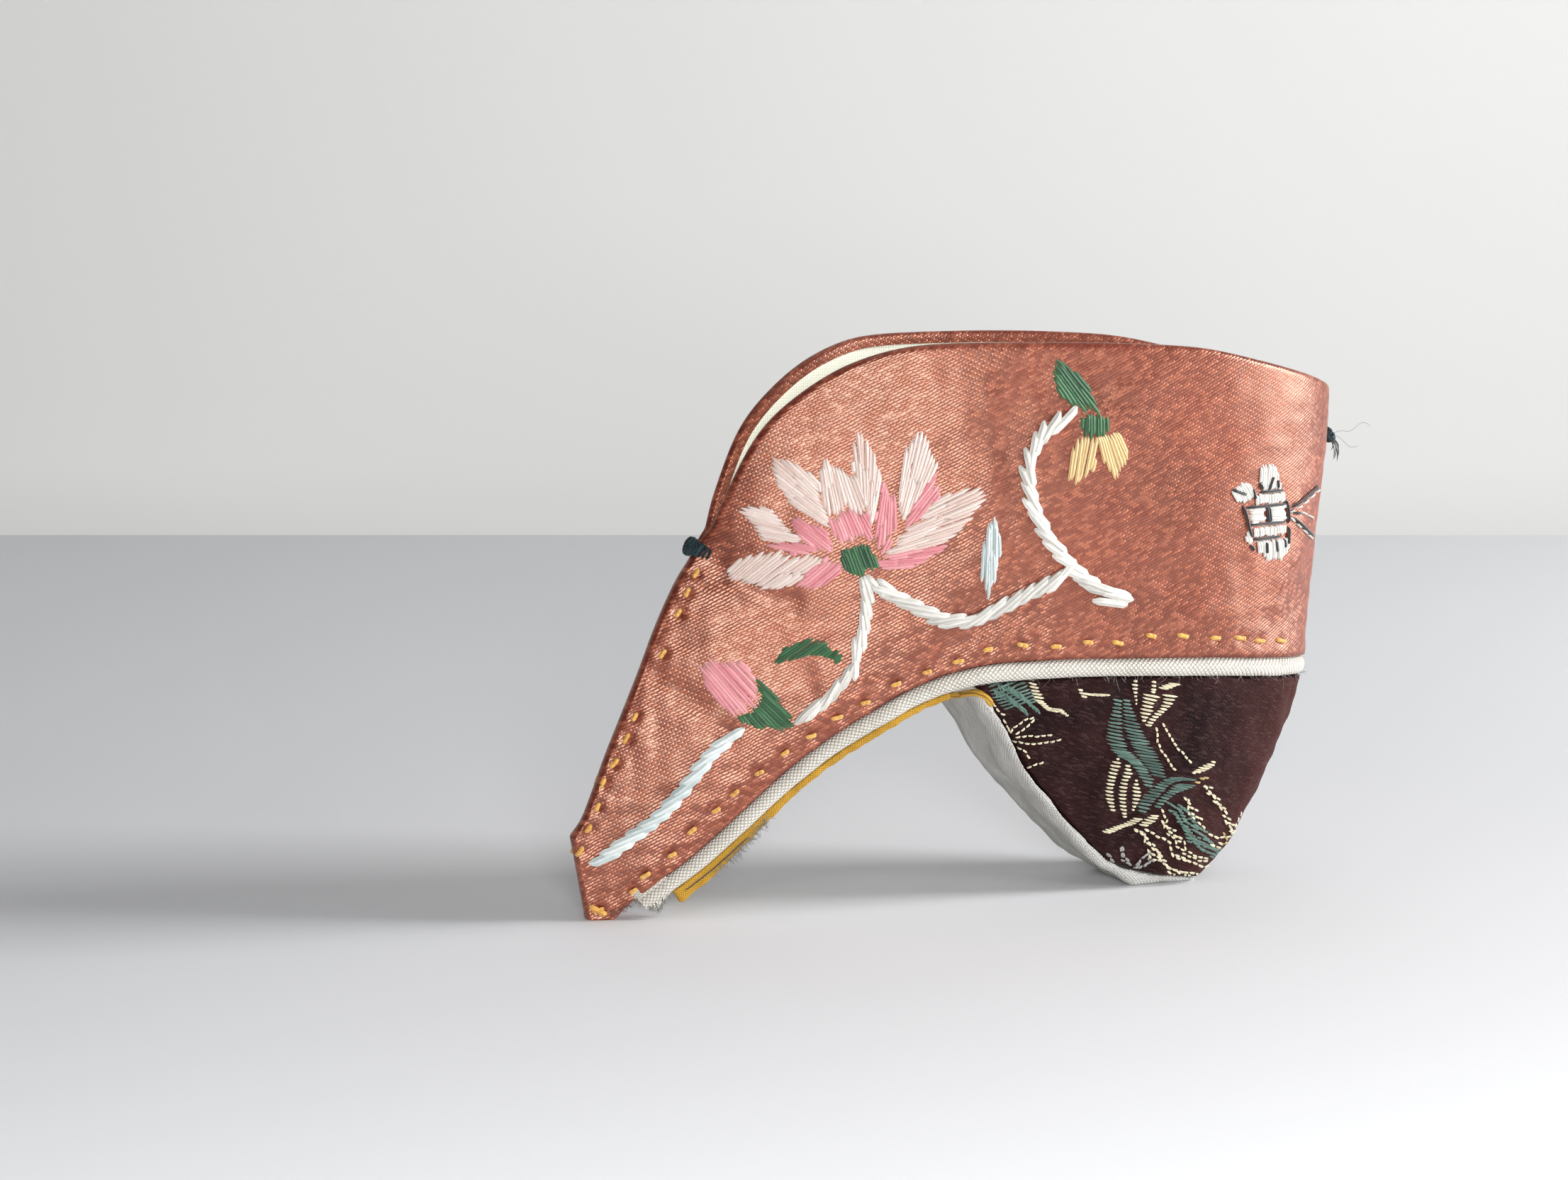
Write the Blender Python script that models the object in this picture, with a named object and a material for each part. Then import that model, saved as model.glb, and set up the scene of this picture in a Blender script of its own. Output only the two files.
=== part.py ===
"""A lotus shoe: a tall, narrow satin upper on an arched cotton sole and a wedge heel.

Metres, at real size. +X runs from the toe to the heel and +Z is up. The two sides mirror each other in y = 0.
The origin is on the floor, under the middle of the shoe's box. A "run" is a distance back from the toe's front.
"""

import math
from collections import namedtuple

import bmesh
import bpy
from mathutils import Vector

# Overall sizes
LENGTH = 0.1275  # toe front to the back seam at the collar
HEIGHT = 0.0880  # floor to the top of the collar
SEAT_HEIGHT = 0.0389  # floor to the lower edge of the upper, at its highest
COLLAR_WIDTH = 0.0340  # outside, at its widest
FOOT_WIDTH = 0.0318  # outside of the upper's lower edge, at its widest
BULGE = 0.0020  # how far the sides swell out halfway up, at most

# Upper
WALL = 0.0015
SEAM_HALF = 0.0013  # half the thickness of the front seam, where both walls meet
SEAM_CROWN = 0.0005  # how far the seam's rounded edge stands out
FACING_DEPTH = 0.0034  # the satin turned in at the collar
FACING_STEP = 0.0005
TOE_FOLD_RUN = 0.0100  # the satin closes the toe's underside up to here
LEAST_CAVITY = 0.0004  # half the narrowest hollow that is left between the walls

# Piping round the lower edge
PIPING_START = 0.0096
PIPING_TOE_RADIUS = 0.00115
PIPING_HEEL_RADIUS = 0.00160
PIPING_PROUD = 0.0004  # how far it stands out past the upper

# Sole, tapes and insole
SOLE_START = 0.0112
SOLE_TOE_DEPTH = 0.0018  # from the upper's lower edge to the underside, at the toe
SOLE_ARCH_DEPTH = 0.0046  # the same at the arch
SOLE_TAPER_RUN = 0.0260  # where the full depth is reached
BREAST_THICKNESS = 0.0017  # the sole where it covers the heel's front
BREAST_FLARE = 0.0006  # over this length below the piping it widens to the heel's width
SOLE_FORE_FOLD = 0.80  # half width of the underside over that of the top, under the forepart
SOLE_BREAST_FOLD = 0.58
SOLE_FOOT_FOLD = 0.86
SOLE_DISH = 0.0005  # how far the underside is hollowed in front of the heel
SOLE_TAIL_RUN = 0.1026
TAPE_START = 0.0140
TAPE_JOIN = 0.0320
TAPE_END = 0.0560
TAPE_WIDTH = 0.0014
TAPE_FOLD_HEIGHT = 0.0027  # the tape is folded back on itself at its front end
TAPE_JOIN_HEIGHT = 0.0013
TAPE_REAR_HEIGHT = 0.0011
INSOLE_START = 0.0150
INSOLE_THICKNESS = 0.0012

# Heel
BREAST_SETBACK = 0.0594  # the run where the sole turns down in front of the heel
HEEL_FRONT_RUN = 0.0627  # the heel's front just below the piping
HEEL_TIP_RUN = 0.0919  # the front of the heel's foot
HEEL_TIP_LIFT = 0.0026
HEEL_BASE_BACK = 0.1047  # the back of the heel's foot
HEEL_BASE_LIFT = 0.0004
HEEL_BASE_WIDTH = 0.0188
HEEL_INSET = 0.0003  # how far the heel sits in from the upper's lower edge

# Thread knots on the front and back seams
KNOT_THREAD_RADIUS = 0.0006
KNOT_STRETCH = 2.4  # the front knot's height over its thickness
FRONT_KNOT_LEG = 0.0026  # how far the front knot reaches back on each side of the seam
BACK_KNOT_HEIGHT = 0.0708
BACK_KNOT_RADII = (0.00125, 0.0020, 0.0014)

GAP = 0.0003  # between pieces that touch on the real shoe

# Fineness of the meshes
STATIONS = 54
LEVELS = 9
PIPING_SIDES = 10
KNOT_SIDES = 8

# Sections from the toe (first) to the back seam (last). Runs are shares of LENGTH. The foot is the upper's lower
# edge: z is a share of SEAT_HEIGHT and w of half FOOT_WIDTH. The rim is its upper edge, the front seam first and
# then the collar: z is a share of HEIGHT and w of half COLLAR_WIDTH. bulge is a share of BULGE.
Section = namedtuple("Section", "foot_run foot_z foot_w rim_run rim_z rim_w bulge")
SECTIONS = [
    Section(0.022, 0.000, 0.085, 0.004, 0.147, 0.076, 0.00),
    Section(0.045, 0.000, 0.130, 0.018, 0.175, 0.076, 0.15),
    Section(0.067, 0.067, 0.182, 0.033, 0.227, 0.076, 0.30),
    Section(0.100, 0.152, 0.258, 0.048, 0.284, 0.076, 0.45),
    Section(0.142, 0.257, 0.340, 0.068, 0.352, 0.076, 0.60),
    Section(0.192, 0.406, 0.434, 0.090, 0.427, 0.076, 0.80),
    Section(0.242, 0.560, 0.528, 0.112, 0.507, 0.076, 0.95),
    Section(0.293, 0.692, 0.616, 0.137, 0.582, 0.076, 1.00),
    Section(0.344, 0.797, 0.692, 0.164, 0.645, 0.076, 1.00),
    Section(0.387, 0.879, 0.755, 0.189, 0.739, 0.190, 0.95),
    Section(0.427, 0.936, 0.811, 0.226, 0.845, 0.306, 0.90),
    Section(0.462, 0.969, 0.855, 0.275, 0.916, 0.430, 0.80),
    Section(0.501, 0.990, 0.900, 0.335, 0.968, 0.576, 0.70),
    Section(0.548, 0.997, 0.937, 0.407, 0.996, 0.753, 0.60),
    Section(0.603, 1.000, 0.969, 0.489, 1.000, 0.876, 0.50),
    Section(0.666, 0.995, 0.994, 0.580, 0.999, 0.959, 0.45),
    Section(0.729, 0.987, 1.000, 0.674, 0.994, 1.000, 0.40),
    Section(0.791, 0.977, 0.981, 0.768, 0.983, 0.994, 0.40),
    Section(0.850, 0.961, 0.893, 0.854, 0.957, 0.918, 0.35),
    Section(0.909, 0.943, 0.704, 0.929, 0.930, 0.700, 0.30),
    Section(0.952, 0.928, 0.396, 0.980, 0.908, 0.388, 0.25),
    Section(0.967, 0.923, 0.000, 1.000, 0.899, 0.000, 0.20),
]
THROAT_ROW = 8  # the section where the front seam ends and the collar opens
ODD_COLUMNS = ("foot_w", "rim_w")  # these change sign across the back seam

# The heel from just below the piping (first) to its foot (last). front and back go from the heel's runs at the
# top to those at the foot, with drops as shares of the height between; half goes from the seat's half width to
# half HEEL_BASE_WIDTH.
HeelLevel = namedtuple("HeelLevel", "front front_drop back back_drop half")
HEEL_LEVELS = [
    HeelLevel(0.000, 0.000, 0.000, 0.000, 0.00),
    HeelLevel(0.073, 0.100, 0.074, 0.159, 0.11),
    HeelLevel(0.146, 0.184, 0.143, 0.267, 0.21),
    HeelLevel(0.212, 0.287, 0.220, 0.371, 0.31),
    HeelLevel(0.278, 0.400, 0.307, 0.483, 0.40),
    HeelLevel(0.356, 0.494, 0.395, 0.581, 0.50),
    HeelLevel(0.457, 0.590, 0.494, 0.676, 0.60),
    HeelLevel(0.564, 0.706, 0.592, 0.762, 0.69),
    HeelLevel(0.680, 0.819, 0.690, 0.844, 0.79),
    HeelLevel(0.814, 0.926, 0.800, 0.914, 0.89),
    HeelLevel(1.000, 1.000, 1.000, 1.000, 1.00),
]

SATIN = ("salmon_satin", (0.62, 0.20, 0.12), 0.42)
PIPING_COTTON = ("white_piping_cotton", (0.80, 0.77, 0.68), 0.90)
SOLE_COTTON = ("white_sole_cotton", (0.76, 0.75, 0.72), 0.92)
LINING_COTTON = ("pale_lining_cotton", (0.74, 0.76, 0.62), 0.92)
YELLOW_TAPE = ("yellow_tape", (0.70, 0.40, 0.03), 0.85)
BROCADE = ("dark_brocade", (0.055, 0.020, 0.018), 0.75)
TEAL_THREAD = ("dark_teal_thread", (0.010, 0.035, 0.050), 0.80)


def slopes(values, odd):
    """Slopes at the rows of a column, for a smooth curve that doesn't overshoot. The back seam mirrors the rows."""
    ghost = -values[-2] if odd else values[-2]
    padded = [2 * values[0] - values[1], *values, ghost]
    found = []
    for i in range(len(values)):
        left = padded[i + 1] - padded[i]
        right = padded[i + 2] - padded[i + 1]
        limit = 3 * min(abs(left), abs(right))
        mean = (left + right) / 2
        found.append(0.0 if left * right <= 0 else max(-limit, min(limit, mean)))
    return found


COLUMNS = {name: [getattr(row, name) for row in SECTIONS] for name in Section._fields}
COLUMN_SLOPES = {name: slopes(values, name in ODD_COLUMNS) for name, values in COLUMNS.items()}


def share(name, t):
    """A column of SECTIONS at station t, from 0 at the toe to 1 at the back seam."""
    place = min(max(t, 0.0), 1.0) * (len(SECTIONS) - 1)
    i = min(int(place), len(SECTIONS) - 2)
    f = place - i
    a, b = COLUMNS[name][i], COLUMNS[name][i + 1]
    slope_a, slope_b = COLUMN_SLOPES[name][i], COLUMN_SLOPES[name][i + 1]
    ease = f * f * (3 - 2 * f)
    return a + (b - a) * ease + slope_a * f * (1 - f) ** 2 - slope_b * f * f * (1 - f)


THROAT_T = THROAT_ROW / (len(SECTIONS) - 1)


def foot_run(t):
    return LENGTH * share("foot_run", t)


def foot_half(t):
    return FOOT_WIDTH / 2 * share("foot_w", t)


def foot_point(t):
    """The upper's lower outer edge on the left side (y is negative there)."""
    return Vector((foot_run(t), -foot_half(t), SEAT_HEIGHT * share("foot_z", t)))


def rim_half(t):
    """Half the outer width at the front seam or collar."""
    if t <= THROAT_T:
        return SEAM_HALF
    open_half = COLLAR_WIDTH / 2 * share("rim_w", t)
    return open_half if t > 0.5 else max(SEAM_HALF, open_half)


def rim_point(t):
    """The upper's upper outer edge on the left side."""
    return Vector((LENGTH * share("rim_run", t), -rim_half(t), HEIGHT * share("rim_z", t)))


def turn(point_of, t):
    """The direction of a left-side curve at station t."""
    step = 0.002
    ahead = point_of(min(t + step, 1.0))
    behind = point_of(max(t - step, 0.0))
    if t > 1.0 - step:
        return Vector((0.0, 1.0, 0.0))
    return (ahead - behind).normalized()


def outward(t):
    """The level direction that points out of the left side at station t."""
    along = turn(foot_point, t) + turn(rim_point, t)
    return Vector((along.y, -along.x, 0.0)).normalized()


def below(t):
    """The direction square to the lower edge that points down, away from the upper."""
    return turn(foot_point, t).cross(outward(t)).normalized()


def wall_point(t, v):
    """The upper's outer face on the left side: v is 0 at the lower edge and 1 at the seam or collar."""
    straight = foot_point(t).lerp(rim_point(t), v)
    return straight + outward(t) * (BULGE * share("bulge", t) * 4 * v * (1 - v))


def station_at(run):
    """The station whose lower edge lies at this run."""
    low, high = 0.0, 1.0
    for _ in range(40):
        middle = (low + high) / 2
        low, high = (middle, high) if foot_run(middle) < run else (low, middle)
    return (low + high) / 2


def hollow_top(t):
    """How high the hollow reaches between the walls at station t, as a v."""
    if t > 0.5 or (t > THROAT_T and rim_half(t) - WALL > LEAST_CAVITY):
        return 1.0
    low, high = 0.0, 1.0
    for _ in range(40):
        middle = (low + high) / 2
        wide = -wall_point(t, middle).y - WALL > LEAST_CAVITY
        low, high = (middle, high) if wide else (low, middle)
    return low


def inner_point(t, v, extra):
    """The upper's inner face on the left side, with extra thickness where the facing is."""
    point = wall_point(t, v) - outward(t) * (WALL + extra)
    point.y = min(point.y, -LEAST_CAVITY if t < 0.5 else 0.0)
    return point


def mirrored(point):
    return Vector((point.x, -point.y, point.z))


class Shell:
    """Points and faces of one solid, with the left side's points copied to the right."""

    def __init__(self):
        self.points = []
        self.faces = []

    def add(self, point):
        self.points.append(point)
        return len(self.points) - 1

    def pair(self, point):
        """A point of the left side and its mirror image; one point where it lies in the middle plane."""
        if abs(point.y) < 1e-9:
            middle = self.add(point)
            return middle, middle
        return self.add(point), self.add(mirrored(point))

    def face(self, *corners):
        """A face on corners in order, leaving out any corner that repeats."""
        kept = [c for i, c in enumerate(corners) if c != corners[i - 1]]
        if len(set(kept)) >= 3:
            self.faces.append(kept)

    def both(self, *pairs):
        """A face on the left side and its mirror image on the right."""
        self.face(*[p[0] for p in pairs])
        self.face(*[p[1] for p in reversed(pairs)])


def make_object(name, shell, finish, sharp=40):
    """The closed mesh of a shell as a named object, shaded smooth except at its sharp edges."""
    mesh = bpy.data.meshes.new(name)
    mesh.from_pydata([tuple(p) for p in shell.points], [], shell.faces)
    work = bmesh.new()
    work.from_mesh(mesh)
    bmesh.ops.triangulate(work, faces=work.faces)
    bmesh.ops.recalc_face_normals(work, faces=work.faces)
    work.to_mesh(mesh)
    work.free()
    mesh.shade_smooth()
    mesh.set_sharp_from_angle(angle=math.radians(sharp))
    made = bpy.data.objects.new(name, mesh)
    bpy.context.scene.collection.objects.link(made)
    made.parent = bpy.data.objects["shoe_frame"]
    made.data.materials.append(material(*finish))
    return made


def material(name, colour, roughness):
    found = bpy.data.materials.get(name)
    if found:
        return found
    made = bpy.data.materials.new(name)
    made.use_nodes = True
    shader = made.node_tree.nodes["Principled BSDF"]
    shader.inputs["Base Color"].default_value = (*colour, 1.0)
    shader.inputs["Roughness"].default_value = roughness
    shader.inputs["Metallic"].default_value = 0.0
    return made


def spread(start, end, count):
    """count values from start to end, both included."""
    return [start + (end - start) * i / (count - 1) for i in range(count)]


def upper():
    """The satin upper: one wall, open at the collar and, behind the folded toe, underneath."""
    shell = Shell()
    stations = spread(0.0, 1.0, STATIONS)
    hollow_start = station_at(TOE_FOLD_RUN)
    first = next(i for i, t in enumerate(stations) if t >= hollow_start)
    throat = next(i for i, t in enumerate(stations) if hollow_top(t) == 1.0)
    heights = spread(0.0, 1.0, LEVELS + 1)
    outer = [[shell.pair(wall_point(t, v)) for v in heights] for t in stations]

    inner = []
    for t in stations[first:]:
        top = hollow_top(t)
        tall = (rim_point(t) - foot_point(t)).length
        edge = top * (1 - FACING_DEPTH / tall)
        step = FACING_STEP if top == 1.0 else 0.0
        column = [shell.pair(inner_point(t, v, 0.0)) for v in spread(0.0, edge, LEVELS)]
        column.append(shell.pair(inner_point(t, edge + top * 0.006, step)))
        column.append(shell.pair(inner_point(t, top, step)))
        inner.append(column)

    for i in range(len(stations) - 1):
        for j in range(LEVELS):
            shell.both(outer[i][j], outer[i][j + 1], outer[i + 1][j + 1], outer[i + 1][j])
    for i in range(len(inner) - 1):
        for j in range(len(inner[i]) - 1):
            shell.both(inner[i][j], inner[i + 1][j], inner[i + 1][j + 1], inner[i][j + 1])

    # The collar's edge, from the throat round the back, and the lower edge's rim behind the folded toe
    for i in range(throat - 1, len(stations) - 1):
        a, b = inner[i - first], inner[i + 1 - first]
        shell.both(outer[i][-1], a[-1], b[-1], outer[i + 1][-1])
    for i in range(first, len(stations) - 1):
        a, b = inner[i - first], inner[i + 1 - first]
        shell.both(outer[i][0], outer[i + 1][0], b[0], a[0])

    # The front seam's rounded edge, up the toe's front and along the seam to the throat
    edge = [(outer[0][j], stations[0], j / LEVELS) for j in range(LEVELS + 1)]
    edge += [(outer[i][-1], stations[i], 1.0) for i in range(1, throat)]
    crown = []
    for _, t, v in edge:
        out = Vector((-1.0, 0.0, 0.0)) if v < 1.0 else seam_outward(t)
        lift = SEAM_CROWN * (0.0 if v == 0.0 else 1.0)
        middle = wall_point(t, v) + out * lift
        crown.append(shell.add(Vector((middle.x, 0.0, middle.z))))
    for k in range(len(edge) - 1):
        (left, right), (next_left, next_right) = edge[k][0], edge[k + 1][0]
        shell.face(left, next_left, crown[k + 1], crown[k])
        shell.face(crown[k], crown[k + 1], next_right, right)

    # The wall at the throat, the hollow's ceiling under the seam and its front end, and the toe's underside
    last = inner[throat - 1 - first]
    end = outer[throat - 1][-1]
    shell.face(end[0], last[-1][0], last[-1][1], end[1], crown[-1])
    for i in range(throat - 1 - first):
        a, b = inner[i][-1], inner[i + 1][-1]
        shell.face(a[0], b[0], b[1], a[1])
    for j in range(len(inner[0]) - 1):
        a, b = inner[0][j], inner[0][j + 1]
        shell.face(a[0], b[0], b[1], a[1])
    shell.face(outer[0][0][0], crown[0], outer[0][0][1], outer[1][0][1], outer[1][0][0])
    for i in range(1, first - 1):
        a, b = outer[i][0], outer[i + 1][0]
        shell.face(a[0], a[1], b[1], b[0])
    a, b, c = outer[first - 1][0], outer[first][0], inner[0][0]
    shell.face(a[0], a[1], b[1], c[1], c[0], b[0])
    return make_object("upper", shell, SATIN)


def seam_outward(t):
    """The direction in the middle plane that points away from the front seam."""
    along = turn(rim_point, t)
    return Vector((-along.z, 0.0, along.x)).normalized()


def inset_edge(t, inset):
    """The upper's lower edge on the left side, moved in towards the middle."""
    edge = foot_point(t) - outward(t) * inset
    if t == 1.0 or edge.y > 0.0:
        edge.y = 0.0
    return edge


def piping_radius(t):
    return PIPING_TOE_RADIUS + (PIPING_HEEL_RADIUS - PIPING_TOE_RADIUS) * t


def piping_centre(t):
    radius = piping_radius(t)
    return foot_point(t) + below(t) * (radius + GAP) + outward(t) * (PIPING_PROUD - radius)


def tube(shell, centres, frames, radii, sides):
    """A closed tube: a ring of points at each centre, in the plane of its two frame directions."""
    rings = []
    for centre, (across, up), radius in zip(centres, frames, radii):
        angles = [2 * math.pi * k / sides for k in range(sides)]
        ring = [centre + (across * math.cos(a) + up * math.sin(a)) * radius for a in angles]
        rings.append([shell.add(p) for p in ring])
    for a, b in zip(rings, rings[1:]):
        for k in range(sides):
            n = (k + 1) % sides
            shell.face(a[k], a[n], b[n], b[k])
    shell.face(*rings[0])
    shell.face(*reversed(rings[-1]))


def piping():
    """The covered cord under the upper's edge, from the toe round the back to the toe again."""
    shell = Shell()
    left = spread(station_at(PIPING_START), 1.0, STATIONS)
    centres, frames, radii = [], [], []
    for t in left:
        centres.append(piping_centre(t))
        frames.append((outward(t), below(t)))
        radii.append(piping_radius(t))
    for t, (across, up) in list(zip(left, frames))[-2::-1]:
        centres.append(mirrored(piping_centre(t)))
        frames.append((mirrored(across), mirrored(up)))
        radii.append(piping_radius(t))
    tube(shell, centres, frames, radii, PIPING_SIDES)
    return make_object("piping", shell, PIPING_COTTON, 60)


def core_half(t):
    """Half the width of what lies inside the piping at station t."""
    inset = (2 * piping_radius(t) - PIPING_PROUD + GAP) / -outward(t).y
    return foot_half(t) - inset


def fore_depth(t):
    """The sole's depth below the upper's edge."""
    done = (foot_run(t) - SOLE_START) / (SOLE_TAPER_RUN - SOLE_START)
    return SOLE_TOE_DEPTH + (SOLE_ARCH_DEPTH - SOLE_TOE_DEPTH) * min(max(done, 0.0), 1.0)


BREAST_T = station_at(BREAST_SETBACK)


def step_depth(t):
    """From the upper's lower edge to the heel's shoulder under the piping."""
    return 2 * piping_radius(t) + 2 * GAP


def heel_front(level):
    """The heel's front edge at a level, in the middle plane."""
    top = foot_point(BREAST_T).z - step_depth(BREAST_T)
    run = HEEL_FRONT_RUN + (HEEL_TIP_RUN - HEEL_FRONT_RUN) * level.front
    return Vector((run, 0.0, top + (HEEL_TIP_LIFT - top) * level.front_drop))


def heel_back(level):
    """The heel's back edge at a level, in the middle plane."""
    top = foot_point(1.0).z - step_depth(1.0)
    start = foot_run(1.0) - HEEL_INSET
    run = start + (HEEL_BASE_BACK - start) * level.back
    return Vector((run, 0.0, top + (HEEL_BASE_LIFT - top) * level.back_drop))


def heel_half(level):
    """Half the heel's greatest width at a level."""
    seat = FOOT_WIDTH / 2 - HEEL_INSET
    return seat + (HEEL_BASE_WIDTH / 2 - seat) * level.half


def heel_front_half(level):
    return heel_half(level) * foot_half(BREAST_T) / (FOOT_WIDTH / 2)


def ring_of_sole(shell, top, bottom, half, fold, dish=0.0):
    """One cross-section of the sole, between a point of its top and one of its underside in the middle plane.

    The underside is fold times as wide as the top, with a rounded edge, and is hollowed by dish in the middle.
    """
    down = bottom - top
    corners = [(1.0, 0.0), (1.0, 0.3), (1.0 - 0.4 * (1.0 - fold), 0.75), (fold, 1.0)]
    left = [top + down * f + Vector((0.0, -w * half, 0.0)) for w, f in corners]
    right = [mirrored(p) for p in reversed(left)]
    middle = bottom - down.normalized() * dish
    return [shell.add(p) for p in [*left, middle, *right, top]]


def sole():
    """The cotton sole: under the arch, down the front of the heel and under its foot."""
    shell = Shell()
    rings = []
    for t in spread(station_at(SOLE_START), BREAST_T, 24):
        middle = Vector((foot_run(t), 0.0, foot_point(t).z))
        down = below(t)
        down.y = 0.0
        down.normalize()
        top, bottom = middle + down * GAP, middle + down * fore_depth(t)
        rings.append(ring_of_sole(shell, top, bottom, core_half(t), SOLE_FORE_FOLD))

    corner = Vector((foot_run(BREAST_T), 0.0, foot_point(BREAST_T).z))
    fronts = [heel_front(level) for level in HEEL_LEVELS]
    base_back = heel_back(HEEL_LEVELS[-1])
    for i, (level, front) in enumerate(zip(HEEL_LEVELS, fronts)):
        before = fronts[i - 1] if i else corner
        after = fronts[i + 1] if i + 1 < len(fronts) else front.lerp(base_back, 0.3)
        along = (after - before).normalized()
        out = Vector((along.z, 0.0, -along.x))
        bottom = front + out * BREAST_THICKNESS
        bottom.z = max(bottom.z, 0.0) if i + 1 < len(fronts) else 0.0
        fold = SOLE_BREAST_FOLD + (SOLE_FOOT_FOLD - SOLE_BREAST_FOLD) * level.front_drop**3
        dish = SOLE_DISH * math.sin(math.pi * level.front_drop)
        if i == 0:
            rings.append(ring_of_sole(shell, front + out * GAP, bottom, core_half(BREAST_T), fold))
            shift = along * BREAST_FLARE
            front, bottom = front + shift, bottom + shift
        rings.append(ring_of_sole(shell, front + out * GAP, bottom, heel_front_half(level), fold, dish))

    tail = (SOLE_TAIL_RUN - HEEL_TIP_RUN) / (HEEL_BASE_BACK - HEEL_TIP_RUN)
    half = heel_front_half(HEEL_LEVELS[-1])
    for done in (0.35, 0.7, 1.0):
        top = fronts[-1].lerp(base_back, tail * done) - Vector((0.0, 0.0, GAP))
        bottom = Vector((top.x, 0.0, 0.0))
        rings.append(ring_of_sole(shell, top, bottom, half * (1 - 0.12 * done**2), SOLE_FOOT_FOLD))

    for a, b in zip(rings, rings[1:]):
        for k in range(len(a)):
            n = (k + 1) % len(a)
            shell.face(a[k], a[n], b[n], b[k])
    shell.face(*rings[0])
    shell.face(*reversed(rings[-1]))
    return make_object("sole", shell, SOLE_COTTON)


def heel():
    """The brocade-covered wedge: a shoulder inside the piping, then the wedge down to its foot."""
    shell = Shell()
    seat = spread(BREAST_T, 1.0, 24)
    front_run, back_run = foot_run(BREAST_T), foot_run(1.0)
    widest = FOOT_WIDTH / 2
    loops = []
    for start, at_seat in ((front_run + GAP, True), (HEEL_FRONT_RUN, False)):
        loop = []
        for t in seat:
            edge = inset_edge(t, 2 * piping_radius(t) - PIPING_PROUD + GAP)
            depth = GAP if at_seat else step_depth(t)
            loop.append(shell.pair(Vector((max(edge.x, start), edge.y, edge.z - depth))))
        loops.append(loop)
    for level in HEEL_LEVELS:
        loop = []
        front, back = heel_front(level), heel_back(level)
        for t in seat:
            along = (foot_run(t) - front_run) / (back_run - front_run)
            point = front.lerp(back, along)
            if level is HEEL_LEVELS[0]:
                point.z = foot_point(t).z - step_depth(t)
            point.y = -heel_half(level) * foot_half(t) / widest
            loop.append(shell.pair(point))
        loops.append(loop)
    for a, b in zip(loops, loops[1:]):
        for k in range(len(seat) - 1):
            shell.both(a[k], a[k + 1], b[k + 1], b[k])
        shell.face(a[0][0], b[0][0], b[0][1], a[0][1])
    for loop in (loops[0], loops[-1]):
        for a, b in zip(loop, loop[1:]):
            shell.face(a[0], b[0], b[1], a[1])
    return make_object("heel", shell, BROCADE)


def insole():
    """The thin inner sole, on the sole and the heel's seat, inside the upper's wall."""
    shell = Shell()
    stations = spread(station_at(INSOLE_START), 1.0, 26)
    low, high = [], []
    for t in stations:
        base = inset_edge(t, WALL + GAP)
        low.append(shell.pair(base))
        high.append(shell.pair(base + Vector((0.0, 0.0, INSOLE_THICKNESS))))
    for k in range(len(stations) - 1):
        shell.face(low[k][0], low[k][1], low[k + 1][1], low[k + 1][0])
        shell.face(high[k][0], high[k + 1][0], high[k + 1][1], high[k][1])
        shell.both(low[k], low[k + 1], high[k + 1], high[k])
    shell.face(low[0][0], high[0][0], high[0][1], low[0][1])
    return make_object("insole", shell, LINING_COTTON)


def edge_tape(name, side, start, end, start_height, end_height):
    """A length of yellow tape along the sole's edge, under the piping. side is -1 for left and 1 for right."""
    shell = Shell()
    rings = []
    places = spread(station_at(start), station_at(end), 14)
    for t, height in zip(places, spread(start_height, end_height, 14)):
        top = 2 * piping_radius(t) + 2 * GAP
        inner = foot_half(t) - core_half(t) - GAP
        ring = []
        outer = inner - TAPE_WIDTH
        for inset, depth in ((inner, top), (outer, top), (outer, top + height), (inner, top + height)):
            point = foot_point(t) + below(t) * depth + Vector((0.0, inset, 0.0))
            ring.append(shell.add(point if side < 0 else mirrored(point)))
        rings.append(ring)
    for a, b in zip(rings, rings[1:]):
        for k in range(4):
            n = (k + 1) % 4
            shell.face(a[k], a[n], b[n], b[k])
    shell.face(*rings[0])
    shell.face(*reversed(rings[-1]))
    return make_object(name, shell, YELLOW_TAPE)


def beside_throat(depth):
    """The left wall's outer face level with the throat, at a depth behind the front seam."""
    out, along = seam_outward(THROAT_T), turn(rim_point, THROAT_T)
    throat = rim_point(THROAT_T)
    high_v, low_v = 1.0, 0.5
    for _ in range(30):
        v = (high_v + low_v) / 2
        low, high = THROAT_T, 0.5
        for _ in range(30):
            t = (low + high) / 2
            low, high = (t, high) if (wall_point(t, v) - throat).dot(along) < 0 else (low, t)
        point = wall_point(low, v)
        high_v, low_v = (v, low_v) if (throat - point).dot(out) < depth else (high_v, v)
    return point


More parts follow.
